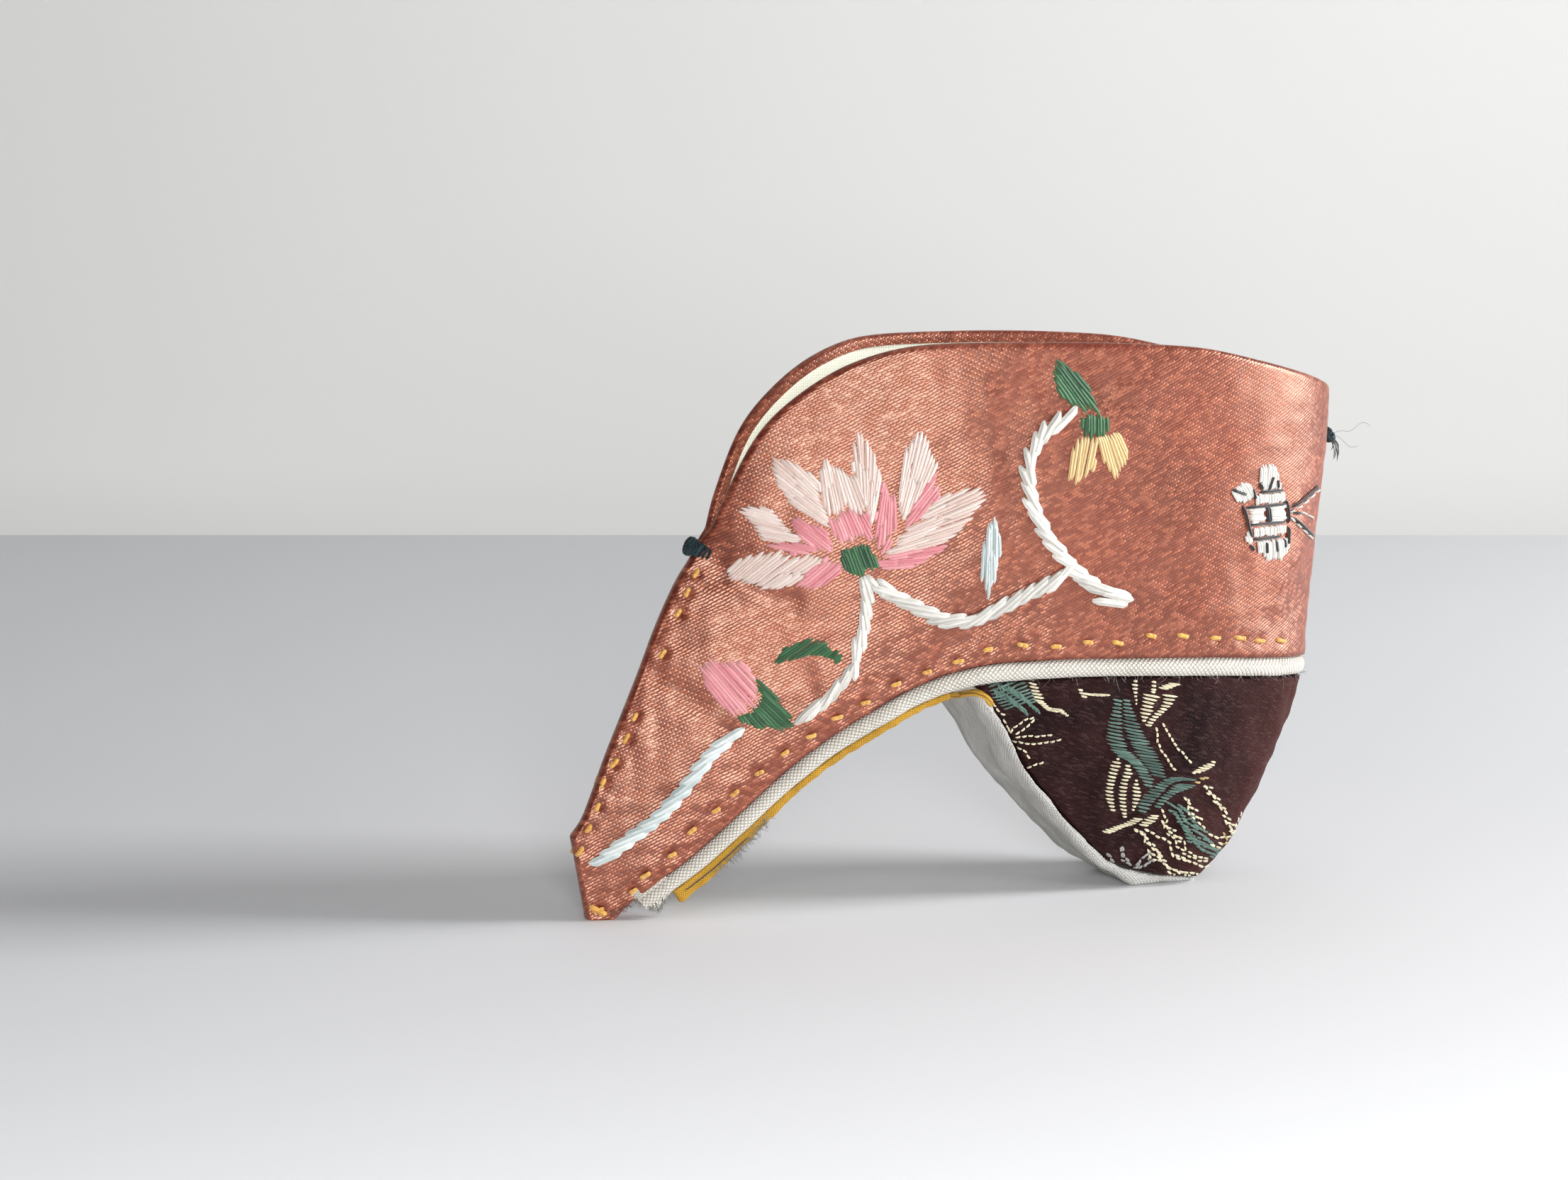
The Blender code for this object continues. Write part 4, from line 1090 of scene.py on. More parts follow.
UPPER_STEM = [
    (1500, 593), (1484, 602), (1466, 619), (1453, 647), (1450, 679), (1458, 717), (1474, 752), (1497, 784),
    (1519, 807), (1544, 826), (1558, 834),
]
DOWN_STEM = [
    (1221, 848), (1221, 868), (1215, 899), (1208, 918), (1202, 946), (1178, 973), (1156, 995),
    (1140, 1004),
]
TOE_STEM = [
    (1026, 1042), (1000, 1068), (982, 1090), (964, 1114), (939, 1142), (915, 1163), (890, 1182),
    (866, 1200), (855, 1209),
]
TOP_LEAF = [
    (1489, 505), (1506, 514), (1532, 541), (1545, 561), (1550, 582), (1530, 584), (1514, 573), (1496, 558),
    (1484, 532),
]
CALYX = [(1526, 586), (1560, 586), (1568, 606), (1556, 617), (1526, 616)]
YELLOW_PETALS = [
    ([(1524, 613), (1548, 616), (1544, 661), (1533, 670), (1522, 682), (1508, 682), (1507, 655),
     (1515, 630)], 104, 96),
    ([(1549, 613), (1580, 610), (1594, 642), (1584, 669), (1571, 677), (1556, 650)], 64, 78),
]
GREY_BLADE = [
    (1403, 725), (1408, 746), (1411, 784), (1405, 816), (1392, 845), (1385, 816), (1387, 778), (1391, 746),
]
BUD = [
    (986, 940), (1000, 930), (1019, 932), (1043, 932), (1060, 946), (1068, 961), (1071, 992), (1057, 1006),
    (1037, 1012), (1019, 997), (1003, 979), (992, 961),
]
BUD_CALYX = [
    (1066, 956), (1086, 972), (1104, 994), (1119, 1013), (1119, 1027), (1086, 1031), (1055, 1024),
    (1037, 1017), (1062, 1000), (1072, 984),
]
SMALL_LEAF = [
    (1090, 935), (1106, 914), (1137, 902), (1166, 907), (1192, 930), (1184, 936), (1154, 924), (1126, 928),
    (1095, 939),
]
BEE_CLOSE_UP = (1330, 430, 1.7456)
BEE_WHITE = [
    ([(780, 400), (800, 388), (822, 395), (828, 430), (830, 458), (788, 460), (778, 430)], 94),
    ([(712, 458), (735, 438), (762, 442), (768, 470), (752, 488), (726, 488)], 60),
    ([(772, 466), (838, 460), (842, 486), (768, 494)], 88),
    ([(752, 502), (794, 498), (796, 534), (758, 540)], 0),
    ([(802, 497), (846, 492), (848, 530), (804, 534)], 0),
    ([(762, 548), (842, 540), (840, 566), (764, 574)], 88),
    ([(768, 580), (848, 572), (852, 600), (835, 630), (800, 632), (775, 608)], 86),
    ([(744, 558), (758, 554), (764, 590), (748, 586)], 80),
]
BEE_BLACK = [
    [(778, 462), (838, 456)], [(745, 500), (846, 490)], [(750, 543), (848, 534)], [(760, 579), (838, 569)],
    [(797, 496), (800, 536)], [(802, 496), (805, 536)], [(738, 492), (746, 520), (752, 548), (762, 582)],
    [(843, 478), (848, 505), (850, 540)], [(710, 455), (748, 468)], [(760, 448), (770, 484)],
    [(800, 458), (812, 420)], [(786, 458), (779, 438)], [(823, 455), (822, 424)], [(795, 582), (796, 614)],
    [(818, 578), (822, 610)], [(838, 574), (842, 604)], [(850, 545), (848, 592)], [(756, 590), (768, 610)],
    [(856, 500), (880, 484), (905, 462), (928, 442)], [(858, 522), (880, 540), (902, 562), (922, 576)],
    [(862, 512), (885, 514)],
]
BEE_FEELERS = [
    [(860, 508), (884, 494), (908, 472), (932, 450)], [(862, 530), (884, 552), (905, 572)],
    [(890, 514), (906, 522)],
]

WHITE_FLOSS = floss("white_floss", (0.96, 0.82, 0.75), (0.72, 0.50, 0.43))
PINK_FLOSS = floss("pink_floss", (0.93, 0.42, 0.44), (0.68, 0.17, 0.21))
STEM_FLOSS = floss("stem_floss", (0.86, 0.84, 0.78), (0.44, 0.42, 0.38))
GREY_FLOSS = floss("grey_floss", (0.80, 0.86, 0.84), (0.36, 0.44, 0.44))
GREEN_FLOSS = floss("green_floss", (0.060, 0.19, 0.075), (0.004, 0.032, 0.014), 0.5, 0.15)
YELLOW_FLOSS = floss("yellow_floss", (0.80, 0.57, 0.27), (0.56, 0.35, 0.14))
BLACK_FLOSS = floss("black_floss", (0.035, 0.03, 0.035), (0.008, 0.008, 0.01))
STITCH_FLOSS = floss("stitch_thread", (0.86, 0.47, 0.10), (0.60, 0.26, 0.04))
TEAL_FLOSS = floss("teal_thread", (0.010, 0.046, 0.058), (0.001, 0.005, 0.008), 0.5, 0.08)


def sew(name, material, work, surface=None, lift=0.0):
    """One piece of stitches: work lays them."""
    stitches = Stitches(surface or SATIN_SURFACE, lift)
    work(stitches)
    made = stitches.near.make(name, material)
    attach(made, "root")
    return made


def white_petals(s):
    for outline, first, last in PETALS_WHITE:
        s.fill(placed(outline, FLOWER_CLOSE_UP), first, last, longest=78)


def pink_petals(s):
    for outline, first, last in PETALS_PINK:
        s.fill(placed(outline, FLOWER_CLOSE_UP), first, last, longest=70)
    s.fill(BUD, 44, 52, 4.6, longest=130)


def green_work(s):
    s.fill(placed(FLOWER_CENTRE, FLOWER_CLOSE_UP), 70, 70, 4.0)
    s.fill(TOP_LEAF, 50, 58)
    s.fill(CALYX, 88, 92)
    s.fill(BUD_CALYX, 42, 50)
    s.fill(SMALL_LEAF, -34, -34, 4.0)


# Ropes: the path, the stitches' length, half width and step in pixels, then width and rise in metres
STEM_ROPES = [
    (MAIN_STEM, 64, 8.5, 22, 0.00135, 0.00066),
    (UPPER_STEM, 60, 8.5, 22, 0.00135, 0.00066),
    (DOWN_STEM, 58, 7.0, 21, 0.00120, 0.00060),
]
TOE_ROPE = (TOE_STEM, 56, 7.5, 22, 0.00150, 0.00074)

# Widths and rises of single threads
STEM_START_THREAD = (0.00105, 0.00056)
STEM_END_THREAD = (0.00130, 0.00062)
RUNNING_THREAD = (0.00074, 0.00042)
TOE_THREAD = (0.00095, 0.00055)


def stems(s):
    for path in STEM_STARTS:
        s.thread(walk(placed(path, FLOWER_CLOSE_UP), 4)[0], *STEM_START_THREAD)
    for rope in STEM_ROPES:
        s.rope(*rope, lean=-1)
    for start, end in STEM_END:
        s.line(start, end, *STEM_END_THREAD)
    for outline, angle in BEE_WHITE:
        s.fill(placed(outline, BEE_CLOSE_UP), angle, angle, 3.4, ragged=2.0)
    for path in BEE_FEELERS:
        s.chain(placed(path, BEE_CLOSE_UP), 12, FLOSS_WIDTH * 0.6, FLOSS_RISE)


def grey_work(s):
    s.rope(*TOE_ROPE)
    s.fill(GREY_BLADE, 88, 94, 3.6)


def yellow_petals(s):
    for outline, first, last in YELLOW_PETALS:
        s.fill(outline, first, last)


def black_lines(s):
    for path in BEE_BLACK:
        places, _ = walk(placed(path, BEE_CLOSE_UP), 4)
        s.thread(places, FLOSS_WIDTH * 0.78, FLOSS_RISE * 1.7)


def running_stitches(s):
    for path in (FRONT_STITCHES, LOWER_STITCHES):
        for k, (x, y) in enumerate(path):
            before, after = path[max(k - 1, 0)], path[min(k + 1, len(path) - 1)]
            along = unit(np.subtract(after, before).astype(float)) * rng.uniform(6.8, 9.0)
            turned = np.array([-along[1], along[0]]) * rng.uniform(0.0, 0.35)
            s.line((x, y) - along - turned, (x, y) + along + turned, *RUNNING_THREAD, points=9)
    s.line(*TOE_STITCH, *TOE_THREAD, points=9)


sew("petals_white", WHITE_FLOSS, white_petals)
sew("petals_pink", PINK_FLOSS, pink_petals)
sew("leaves_green", GREEN_FLOSS, green_work)
sew("stems_white", STEM_FLOSS, stems)
sew("stem_grey", GREY_FLOSS, grey_work)
sew("petals_yellow", YELLOW_FLOSS, yellow_petals)
sew("lines_black", BLACK_FLOSS, black_lines)
sew("running_stitches", STITCH_FLOSS, running_stitches)

# The brocade's woven floats: (x, y) along a chain of floats, or (x, y, length) for floats side by side.
# Places are in close-ups, and only those of FRONT_FAN are in pixels of the whole photograph.

MIDDLE_CLOSE_UP = (1540, 960, 4.61)
FRONT_CLOSE_UP = (1320, 940, 4.479)
TEAL_LANES = [
    [(170, 130, 60), (165, 200, 60), (155, 270, 85), (150, 340, 100), (160, 400, 115), (180, 450, 120),
     (235, 500, 140), (300, 545, 100), (330, 590, 90), (360, 640, 95), (370, 690, 50)],
    [(228, 130, 50), (235, 180, 60), (255, 260, 90), (270, 320, 130), (300, 380, 130), (340, 450, 140),
     (380, 520, 130), (420, 580, 120), (440, 630, 90)],
    [(330, 850, 60), (350, 790, 90), (400, 740, 90), (450, 690, 80), (500, 655, 70), (560, 640, 110),
     (620, 640, 120)],
    [(430, 820, 50), (470, 770, 60), (520, 730, 60), (570, 700, 90), (620, 680, 110)],
]
CREAM_LANES = [
    [(170, 510, 20), (160, 540, 60), (140, 600, 60), (125, 660, 55), (115, 720, 50), (120, 780, 50),
     (140, 850, 35)],
    [(235, 555, 40), (240, 600, 55), (215, 650, 50), (205, 700, 50), (200, 760, 45), (205, 820, 45),
     (215, 885, 30)],
    [(290, 650, 20), (290, 690, 45), (295, 740, 60), (285, 790, 40), (270, 840, 20)],
    [(390, 100, 95), (370, 140, 85), (360, 190, 75), (345, 230, 55), (340, 260, 30)],
    [(510, 100, 90), (500, 140, 75), (465, 190, 50), (430, 220, 45), (400, 250, 40), (370, 290, 40)],
    [(470, 50, 60), (545, 20, 70)],
    [(285, 5, 30), (280, 40, 40), (285, 75, 25), (285, 100, 20), (290, 125, 15), (290, 150, 12)],
    [(405, 10, 30), (405, 45, 35), (400, 75, 30)],
    [(665, 600, 25), (700, 590, 60), (740, 565, 70), (780, 545, 50), (795, 525, 20)],
    [(100, 985, 60), (150, 965, 60), (200, 945, 60), (250, 930, 60), (300, 900, 60)],
    [(340, 940, 60), (380, 910, 80), (410, 880, 50)],
    [(985, 870, 30), (960, 930, 30), (920, 990, 30)],
]
DASHED_LANES = [
    [(470, 290), (500, 345), (525, 400), (560, 440), (600, 485), (640, 530)],
    [(420, 320), (430, 350), (430, 405), (450, 455), (490, 500), (520, 570), (550, 590)],
]
CREAM_CHAINS = [
    [(290, 970), (350, 1000), (340, 1050), (400, 1070), (430, 1110), (440, 1170), (500, 1210), (560, 1240),
     (620, 1290)],
    [(460, 850), (490, 910), (470, 950), (540, 970)],
    [(500, 1000), (540, 1030), (550, 1080), (610, 1110), (600, 1050), (560, 1040)],
    [(600, 1130), (650, 1150), (700, 1170), (750, 1170), (770, 1220), (730, 1240)],
    [(370, 1110), (390, 1160), (440, 1170)],
    [(640, 1120), (700, 1150), (760, 1160)],
    [(740, 690), (780, 700)],
    [(760, 735), (830, 770)],
    [(800, 790), (865, 830)],
    [(610, 770), (640, 800)],
    [(650, 830), (680, 845)],
    [(655, 870), (710, 900)],
    [(700, 930), (730, 960)],
    [(860, 885), (900, 910)],
    [(890, 930), (920, 940)],
]
TEAL_CHAINS = [
    [(510, 850), (560, 870), (560, 920), (640, 900), (660, 920)],
    [(600, 960), (640, 1010), (680, 1060), (740, 1080), (720, 1110), (790, 1130), (850, 1110)],
    [(700, 1020), (750, 1040)],
    [(780, 1150), (810, 1160)],
]
GREY_CHAINS = [
    [(120, 1140), (150, 1180)],
    [(190, 1100), (200, 1170), (250, 1190)],
    [(270, 1220), (310, 1180), (300, 1220), (370, 1190)],
    [(380, 1120), (370, 1160), (400, 1170)],
]
YELLOW_CHAIN = [(860, 1000), (880, 1040), (860, 1060), (900, 1060)]
BRIGHT_DOTS = [(690, 660), (720, 635), (745, 630)]
FRONT_TEAL_BARS = [
    [(380, 170, 60), (440, 190, 80), (500, 230, 80), (570, 290, 60)],
    [(400, 130, 50), (470, 150, 70), (540, 190, 70), (600, 240, 50)],
    [(450, 100, 50), (500, 80, 50), (540, 60, 40)],
    [(590, 240, 40), (650, 285, 50)],
]
FRONT_CREAM_LANES = [
    [(600, 90, 40), (620, 125, 60), (630, 160, 60), (650, 190, 60), (650, 215, 60), (690, 250, 50),
     (740, 285, 60), (770, 270, 60), (835, 313, 20)],
    [(915, 150, 30), (940, 195, 40)],
    [(960, 175, 60), (1000, 180, 60), (1040, 180, 60), (1075, 180, 50)],
]
FRONT_CREAM_CHAINS = [
    [(370, 245), (405, 290), (445, 305)],
    [(480, 410), (490, 385), (520, 370), (555, 345), (605, 325)],
    [(610, 345), (590, 365), (570, 385), (540, 410), (510, 430)],
    [(520, 450), (570, 440), (625, 440), (675, 435), (735, 435)],
    [(500, 470), (545, 485), (590, 490), (640, 490), (680, 485), (725, 475), (780, 462)],
    [(530, 515), (570, 545), (590, 570)],
    [(590, 635), (625, 625), (665, 608)],
    [(435, 350), (470, 400)],
]
FRONT_GREY_BITS = [(300, 120), (350, 115), (390, 105)]
FRONT_FAN = [
    [(1402, 962, 16), (1410, 982, 20), (1424, 998, 18)],
    [(1417, 957, 16), (1426, 976, 22), (1441, 994, 18)],
    [(1434, 956, 14), (1443, 974, 20), (1457, 990, 14)],
]
LOWER_CLOSE_UP = (1300, 880, 1.7155)
LOWER_CREAM = [
    [(520, 500), (545, 520), (560, 545), (580, 560)],
    [(545, 500), (575, 515), (600, 530), (610, 560), (640, 575)], [(585, 480), (600, 505), (625, 520)],
    [(560, 560), (590, 575), (600, 600), (625, 615)], [(620, 560), (650, 575), (680, 590), (695, 580)],
    [(600, 590), (630, 600), (650, 612)], [(640, 600), (670, 605)],
    [(700, 510), (720, 520), (745, 515), (760, 500)], [(725, 530), (745, 540)], [(705, 535), (730, 545)],
    [(770, 460), (760, 490), (745, 505)], [(738, 480), (750, 505)], [(645, 430), (642, 455), (660, 475)],
    [(690, 395), (715, 430), (735, 460)],
]
LOWER_TEAL = [
    [(600, 435), (625, 450), (640, 480), (665, 495)], [(625, 440), (650, 460), (665, 490), (690, 505)],
    [(660, 500), (685, 515), (700, 530)], [(640, 490), (660, 520), (690, 540), (715, 550)],
    [(655, 520), (675, 545), (710, 560)], [(680, 530), (710, 545), (730, 552)],
    [(612, 455), (640, 500), (650, 530)],
]
LOWER_GREY = [
    [(452, 560), (465, 575)], [(485, 545), (490, 565), (505, 580)], [(520, 590), (530, 570), (545, 560)],
    [(530, 590), (550, 575)], [(460, 590), (480, 592)],
]

FLOAT_ANGLE = 10
FLOAT_LIFT = 0.00002
BRIGHT_HALF = 4


def cream_floats(s):
    for path in CREAM_LANES:
        s.ladder(placed(path, MIDDLE_CLOSE_UP), FLOAT_ANGLE)
    for path in FRONT_CREAM_LANES:
        s.ladder(placed(path, FRONT_CLOSE_UP), FLOAT_ANGLE)
    for path in CREAM_CHAINS + DASHED_LANES:
        s.chain(placed(path, MIDDLE_CLOSE_UP), drift=1.0)
    for path in LOWER_CREAM:
        s.chain(placed(path, LOWER_CLOSE_UP), 9, FLOAT_WIDTH * 1.15, drift=1.5)
    for path in FRONT_CREAM_CHAINS:
        s.chain(placed(path, FRONT_CLOSE_UP), 9, drift=1.0)


def teal_floats(s):
    for path in TEAL_LANES:
        s.ladder(placed(path, MIDDLE_CLOSE_UP), FLOAT_ANGLE)
    for path in FRONT_TEAL_BARS:
        s.ladder(placed(path, FRONT_CLOSE_UP), 60)
    for path in FRONT_FAN:
        s.ladder(path, -18)
    for path in LOWER_TEAL:
        s.ladder(placed([(x, y, 15) for x, y in path], LOWER_CLOSE_UP), 22)
    for path in TEAL_CHAINS:
        s.chain(placed(path, MIDDLE_CLOSE_UP), drift=1.0)


def grey_floats(s):
    for path in GREY_CHAINS:
        s.chain(placed(path, MIDDLE_CLOSE_UP), drift=1.0)
    s.chain(placed(FRONT_GREY_BITS, FRONT_CLOSE_UP), 9)
    for path in LOWER_GREY:
        s.chain(placed(path, LOWER_CLOSE_UP), 9, FLOAT_WIDTH * 1.3, drift=1.0)


def yellow_floats(s):
    s.chain(placed(YELLOW_CHAIN, MIDDLE_CLOSE_UP), 7, drift=1.0)
    for x, y in placed(BRIGHT_DOTS, MIDDLE_CLOSE_UP):
        s.line((x - BRIGHT_HALF, y), (x + BRIGHT_HALF, y + 1), FLOAT_WIDTH, FLOAT_RISE, points=5)


CREAM_YARN = floss("cream_yarn", (0.95, 0.88, 0.62), (0.50, 0.42, 0.26), 0.6, 0.2, 3.0)
TEAL_YARN = floss("teal_yarn", (0.165, 0.285, 0.235), (0.014, 0.040, 0.032), 0.6, 0.1, 3.0)
GREY_YARN = floss("grey_yarn", (0.40, 0.40, 0.37), (0.14, 0.14, 0.13), 0.6, 0.2, 3.0)
YELLOW_YARN = floss("yellow_yarn", (0.66, 0.48, 0.20), (0.32, 0.20, 0.06), 0.6, 0.2, 3.0)
for name, yarn, work in (
    ("floats_cream", CREAM_YARN, cream_floats), ("floats_teal", TEAL_YARN, teal_floats),
    ("floats_grey", GREY_YARN, grey_floats), ("floats_yellow", YELLOW_YARN, yellow_floats),
):
    sew(name, yarn, work, HEEL_SURFACE, FLOAT_LIFT)

# The knots

BACK_KNOT_RADII = (0.00125, 0.0020, 0.0014)
KNOT_WRAPS = 19
KNOT_DROP = 0.0005
KNOT_HALF_HEIGHT = 0.00112
KNOT_SINK = 0.0006
KNOT_SPREAD = 1.08
KNOT_THREAD = 0.00030


def strand(soup, places, radius, sides=6):
    """A thread along places in the row frame, its ends drawn in."""
    places = np.array(places)
    along = unit(np.gradient(places, axis=0))
    helper = np.array([0.31, 0.17, 0.94])
    across = unit(np.cross(along, helper))
    other = np.cross(across, along)
    angles = np.linspace(0.0, 2 * math.pi, sides, endpoint=False)
    s = np.linspace(0.0, 1.0, len(places))
    size = radius * np.sqrt(np.clip(np.sin(math.pi * s) * 3, 0.02, 1.0))
    points = places[:, None] + size[:, None, None] * (
        across[:, None] * np.cos(angles)[None, :, None] + other[:, None] * np.sin(angles)[None, :, None]
    )
    total = np.linalg.norm(np.diff(places, axis=0), axis=1).sum()
    uv = np.stack(np.broadcast_arrays((s * total)[:, None], (angles / (2 * math.pi))[None, :]), -1)
    soup.grid(points, uv, True, float(rng.uniform(0.0, 1.0)), flip=True)


def upright_of(out):
    """The direction up the front seam, from the one away from it."""
    across = unit(np.cross(out, np.array([0.0, 1.0, 0.0])))
    return across if across[2] > 0 else -across


def front_knot():
    """Thread wound round a flat bead over the seam."""
    tree = tree_of(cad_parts["front_knot"])
    throat = np.array([THROAT_T])
    out, middle = seam_outward(throat)[0], rim_point(throat)[0] * np.array([1.0, 0.0, 1.0])
    upright = upright_of(out)
    heart = middle - out * KNOT_SINK - upright * KNOT_DROP
    soup = Soup()
    for k in range(KNOT_WRAPS):
        share_round = (k + 0.5) / KNOT_WRAPS
        angle = (share_round - 0.5) * math.pi * KNOT_SPREAD
        away = out * math.cos(angle) + np.array([0.0, math.sin(angle), 0.0])
        hit = tree.ray_cast(Vector(heart + away * 0.02), Vector(-away))
        if hit[0] is None:
            continue
        skin = np.array(hit[0])
        tall = KNOT_HALF_HEIGHT * (0.62 + 0.48 * math.cos(angle)) * rng.uniform(0.88, 1.12)
        lean = rng.uniform(-0.8, 0.8)
        sideways = unit(np.cross(upright, away))
        places = [
            skin
            + upright * (tall * math.cos(a))
            + away * (0.00048 * math.sin(a) - 0.00085)
            + sideways * (0.0003 * lean * math.cos(a))
            for a in np.linspace(-0.25, math.pi + 0.25, 14)
        ]
        strand(soup, places, KNOT_THREAD * rng.uniform(0.7, 1.25))
    return soup.make("front_knot_thread", TEAL_FLOSS)


def back_knot():
    """Thread wound round a small core, with loose ends."""
    low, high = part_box("back_knot")
    centre = np.array((low + high) / 2)
    soup = Soup()
    for k in range(9):
        lean = rng.uniform(-0.5, 0.5)
        turns = np.linspace(0.0, 2 * math.pi, 28)
        offset = (k / 8 - 0.5) * 1.5
        size = math.sqrt(max(0.08, 1 - offset * offset / 0.75))
        places = [
            centre + np.array([
                BACK_KNOT_RADII[0] * 0.8 * math.cos(a) * size,
                BACK_KNOT_RADII[1] * 0.85 * (math.sin(a) * size * 0.75 + offset * 0.5),
                BACK_KNOT_RADII[2] * (0.6 * math.sin(a + lean) * size + offset * 0.4),
            ]) for a in turns
        ]
        strand(soup, places, 0.00034)
    for k in range(7):
        start = centre + np.array([BACK_KNOT_RADII[0] * 0.5, rng.uniform(-0.0008, 0.0008), -0.0004])
        bend = np.array([
            rng.uniform(0.0004, 0.0016), rng.uniform(-0.0012, 0.0012), -rng.uniform(0.002, 0.0045),
        ])
        places = [
            start + bend * f + np.array([0.0006 * math.sin(math.pi * f), 0.0, 0.0])
            for f in np.linspace(0, 1, 8)
        ]
        strand(soup, places, 0.00007, 4)
    return soup.make("back_knot_thread", TEAL_FLOSS)


PIPING_END_TOP = [(892, 1259), (905, 1250), (920, 1241), (938, 1231)]
PIPING_END_LOW = [(897, 1270), (911, 1275), (926, 1284), (946, 1260)]
TOE_FRAY = [(858, 1287), (868, 1284), (879, 1280), (887, 1277), (893, 1270)]
TAPE_FOLD_RUNS = (0.0146, 0.0240)
TAPE_FOLD_DEPTH = 0.0011  # below the piping
TAPE_HOOK = [(1354, 979), (1367, 976), (1380, 977), (1391, 981), (1398, 988), (1402, 996)]
SOLE_FRAY = [(1012, 1226), (1030, 1210), (1050, 1190), (1068, 1170), (1082, 1150)]
FIBRE_RADIUS = 0.00004


def on_plane(px, py, place, normal):
    """Where the camera's ray through a pixel meets a plane."""
    ray = pixel_ray(px, py)
    reach = (Vector(place) - CAMERA_PLACE).dot(Vector(normal)) / ray.dot(Vector(normal))
    return np.array(CAMERA_PLACE + ray * reach)


def raw_end():
    """The piping's flat raw end at the toe, with its frayed edge."""
    start = np.array([station_at(PIPING_START)])
    normal = outward(start)[0]
    place = piping_centre(start)[0] + normal * PIPING_TOE_RADIUS * 0.8
    top, low = (walk(path, 1.2)[0] for path in (PIPING_END_TOP, PIPING_END_LOW))
    count = 40
    places = []
    for k in range(count):
        f = k / (count - 1)
        upper_place, low_place = (path[int(f * (len(path) - 1))] for path in (top, low))
        low_place = low_place + rng.normal(0.0, 1.1, 2)
        column = [upper_place + (low_place - upper_place) * g for g in np.linspace(0.0, 1.0, 12)]
        places.append([on_plane(x, y, place, normal) for x, y in column])
    front = np.array(places)
    uv = np.stack(np.meshgrid(np.arange(count) * 0.00015, np.arange(12) * 0.00035, indexing="ij"), -1)
    soup = Soup()
    for points, flip in ((front, False), (front - normal * 0.0003, True)):
        soup.grid(points, uv, flip=flip)
        soup.grid(mirrored(points), uv, flip=not flip)
    return soup.make("piping_end", PIPING_CLOTH)


def fibres(soup, starts, directions, length, bend, radius=FIBRE_RADIUS, mirror=True):
    """Loose fibres from places, each about a length long and bent at random."""
    for start, direction in zip(starts, directions):
        reach = length * rng.uniform(0.4, 1.2)
        curl = rng.normal(0.0, bend, 3)
        side = unit(direction + rng.normal(0.0, 0.45, 3))
        places = [start + side * reach * f + curl * f * f for f in np.linspace(0.0, 1.0, 6)]
        strand(soup, places, radius, 3)
        if mirror:
            strand(soup, [mirrored(np.array(p)) for p in places], radius, 3)


def along_surface(surface, path, step, jitter=0.0):
    """Places and normals on a surface under a path of pixels."""
    found = []
    for x, y in walk(path, step)[0]:
        x, y = x + rng.normal(0.0, jitter), y + rng.normal(0.0, jitter)
        hit = pixel_hit(surface, x, y)
        if hit:
            found.append((np.array(hit[0]), np.array(hit[1])))
    return found


def white_fibres():
    soup = Soup()
    sole = along_surface(tree_of(cloths["front_tape_left"]), SOLE_FRAY, 0.5, 3.0)
    sole += along_surface(tree_of(cloths["sole"]), SOLE_FRAY, 0.5, 4.0)
    hanging = [n * 0.3 + np.array([0.3, 0.0, -0.8]) for _, n in sole]
    fibres(soup, [p for p, _ in sole], hanging, 0.0013, 0.0003)
    start = np.array([station_at(PIPING_START)])
    place = piping_centre(start)[0] + outward(start)[0] * PIPING_TOE_RADIUS * 0.8
    ends = [on_plane(x, y, place, outward(start)[0]) for x, y in walk(PIPING_END_LOW, 0.7)[0]]
    fibres(soup, ends, [np.array([0.1, -0.1, -0.9])] * len(ends), 0.0008, 0.0002)
    t = rng.uniform(0.62, 0.99, 90)
    radius = piping_radius(t)[:, None]
    low = piping_centre(t) + below(t) * radius * 0.9 + outward(t) * radius * 0.5
    fibres(soup, low, outward(t) * 0.5 + np.array([0.0, 0.0, -0.6]), 0.0011, 0.0005, 0.00003)
    t = rng.uniform(0.05, 0.99, 110)
    round_off = rng.uniform(-0.9, 0.9, 110)
    skin = piping_centre(t) + (
        outward(t) * np.cos(round_off)[:, None] + below(t) * np.sin(round_off)[:, None]
    ) * piping_radius(t)[:, None]
    fibres(soup, skin, outward(t), 0.0006, 0.0003, 0.000022)
    return soup.make("cotton_fibres", STEM_FLOSS)


def satin_fibres():
    soup = Soup()
    toe = along_surface(SATIN_SURFACE, TOE_FRAY, 0.6, 1.5)
    hanging = [n * 0.4 + np.array([0.5, 0.0, -0.6]) for _, n in toe]
    fibres(soup, [p for p, _ in toe], hanging, 0.0008, 0.0003, 0.00005)
    return soup.make("satin_fibres", SATIN_FIBRE)


def loose_hairs():
    """Two fine hairs caught in the knot at the back."""
    low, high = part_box("back_knot")
    start = np.array([high.x - 0.0006, -0.0004, (low.z + high.z) / 2])
    soup = Soup()
    for reach, rise, waves_along in ((0.0062, 0.0016, 1.6), (0.0040, -0.0022, 1.1)):
        places = [
            start + np.array([
                reach * f,
                -0.002 * f * f,
                rise * f + 0.0007 * math.sin(waves_along * 2 * math.pi * f) * f,
            ]) for f in np.linspace(0.0, 1.0, 30)
        ]
        strand(soup, places, 0.000028, 3)
    return soup.make("loose_hairs", BLACK_FLOSS)


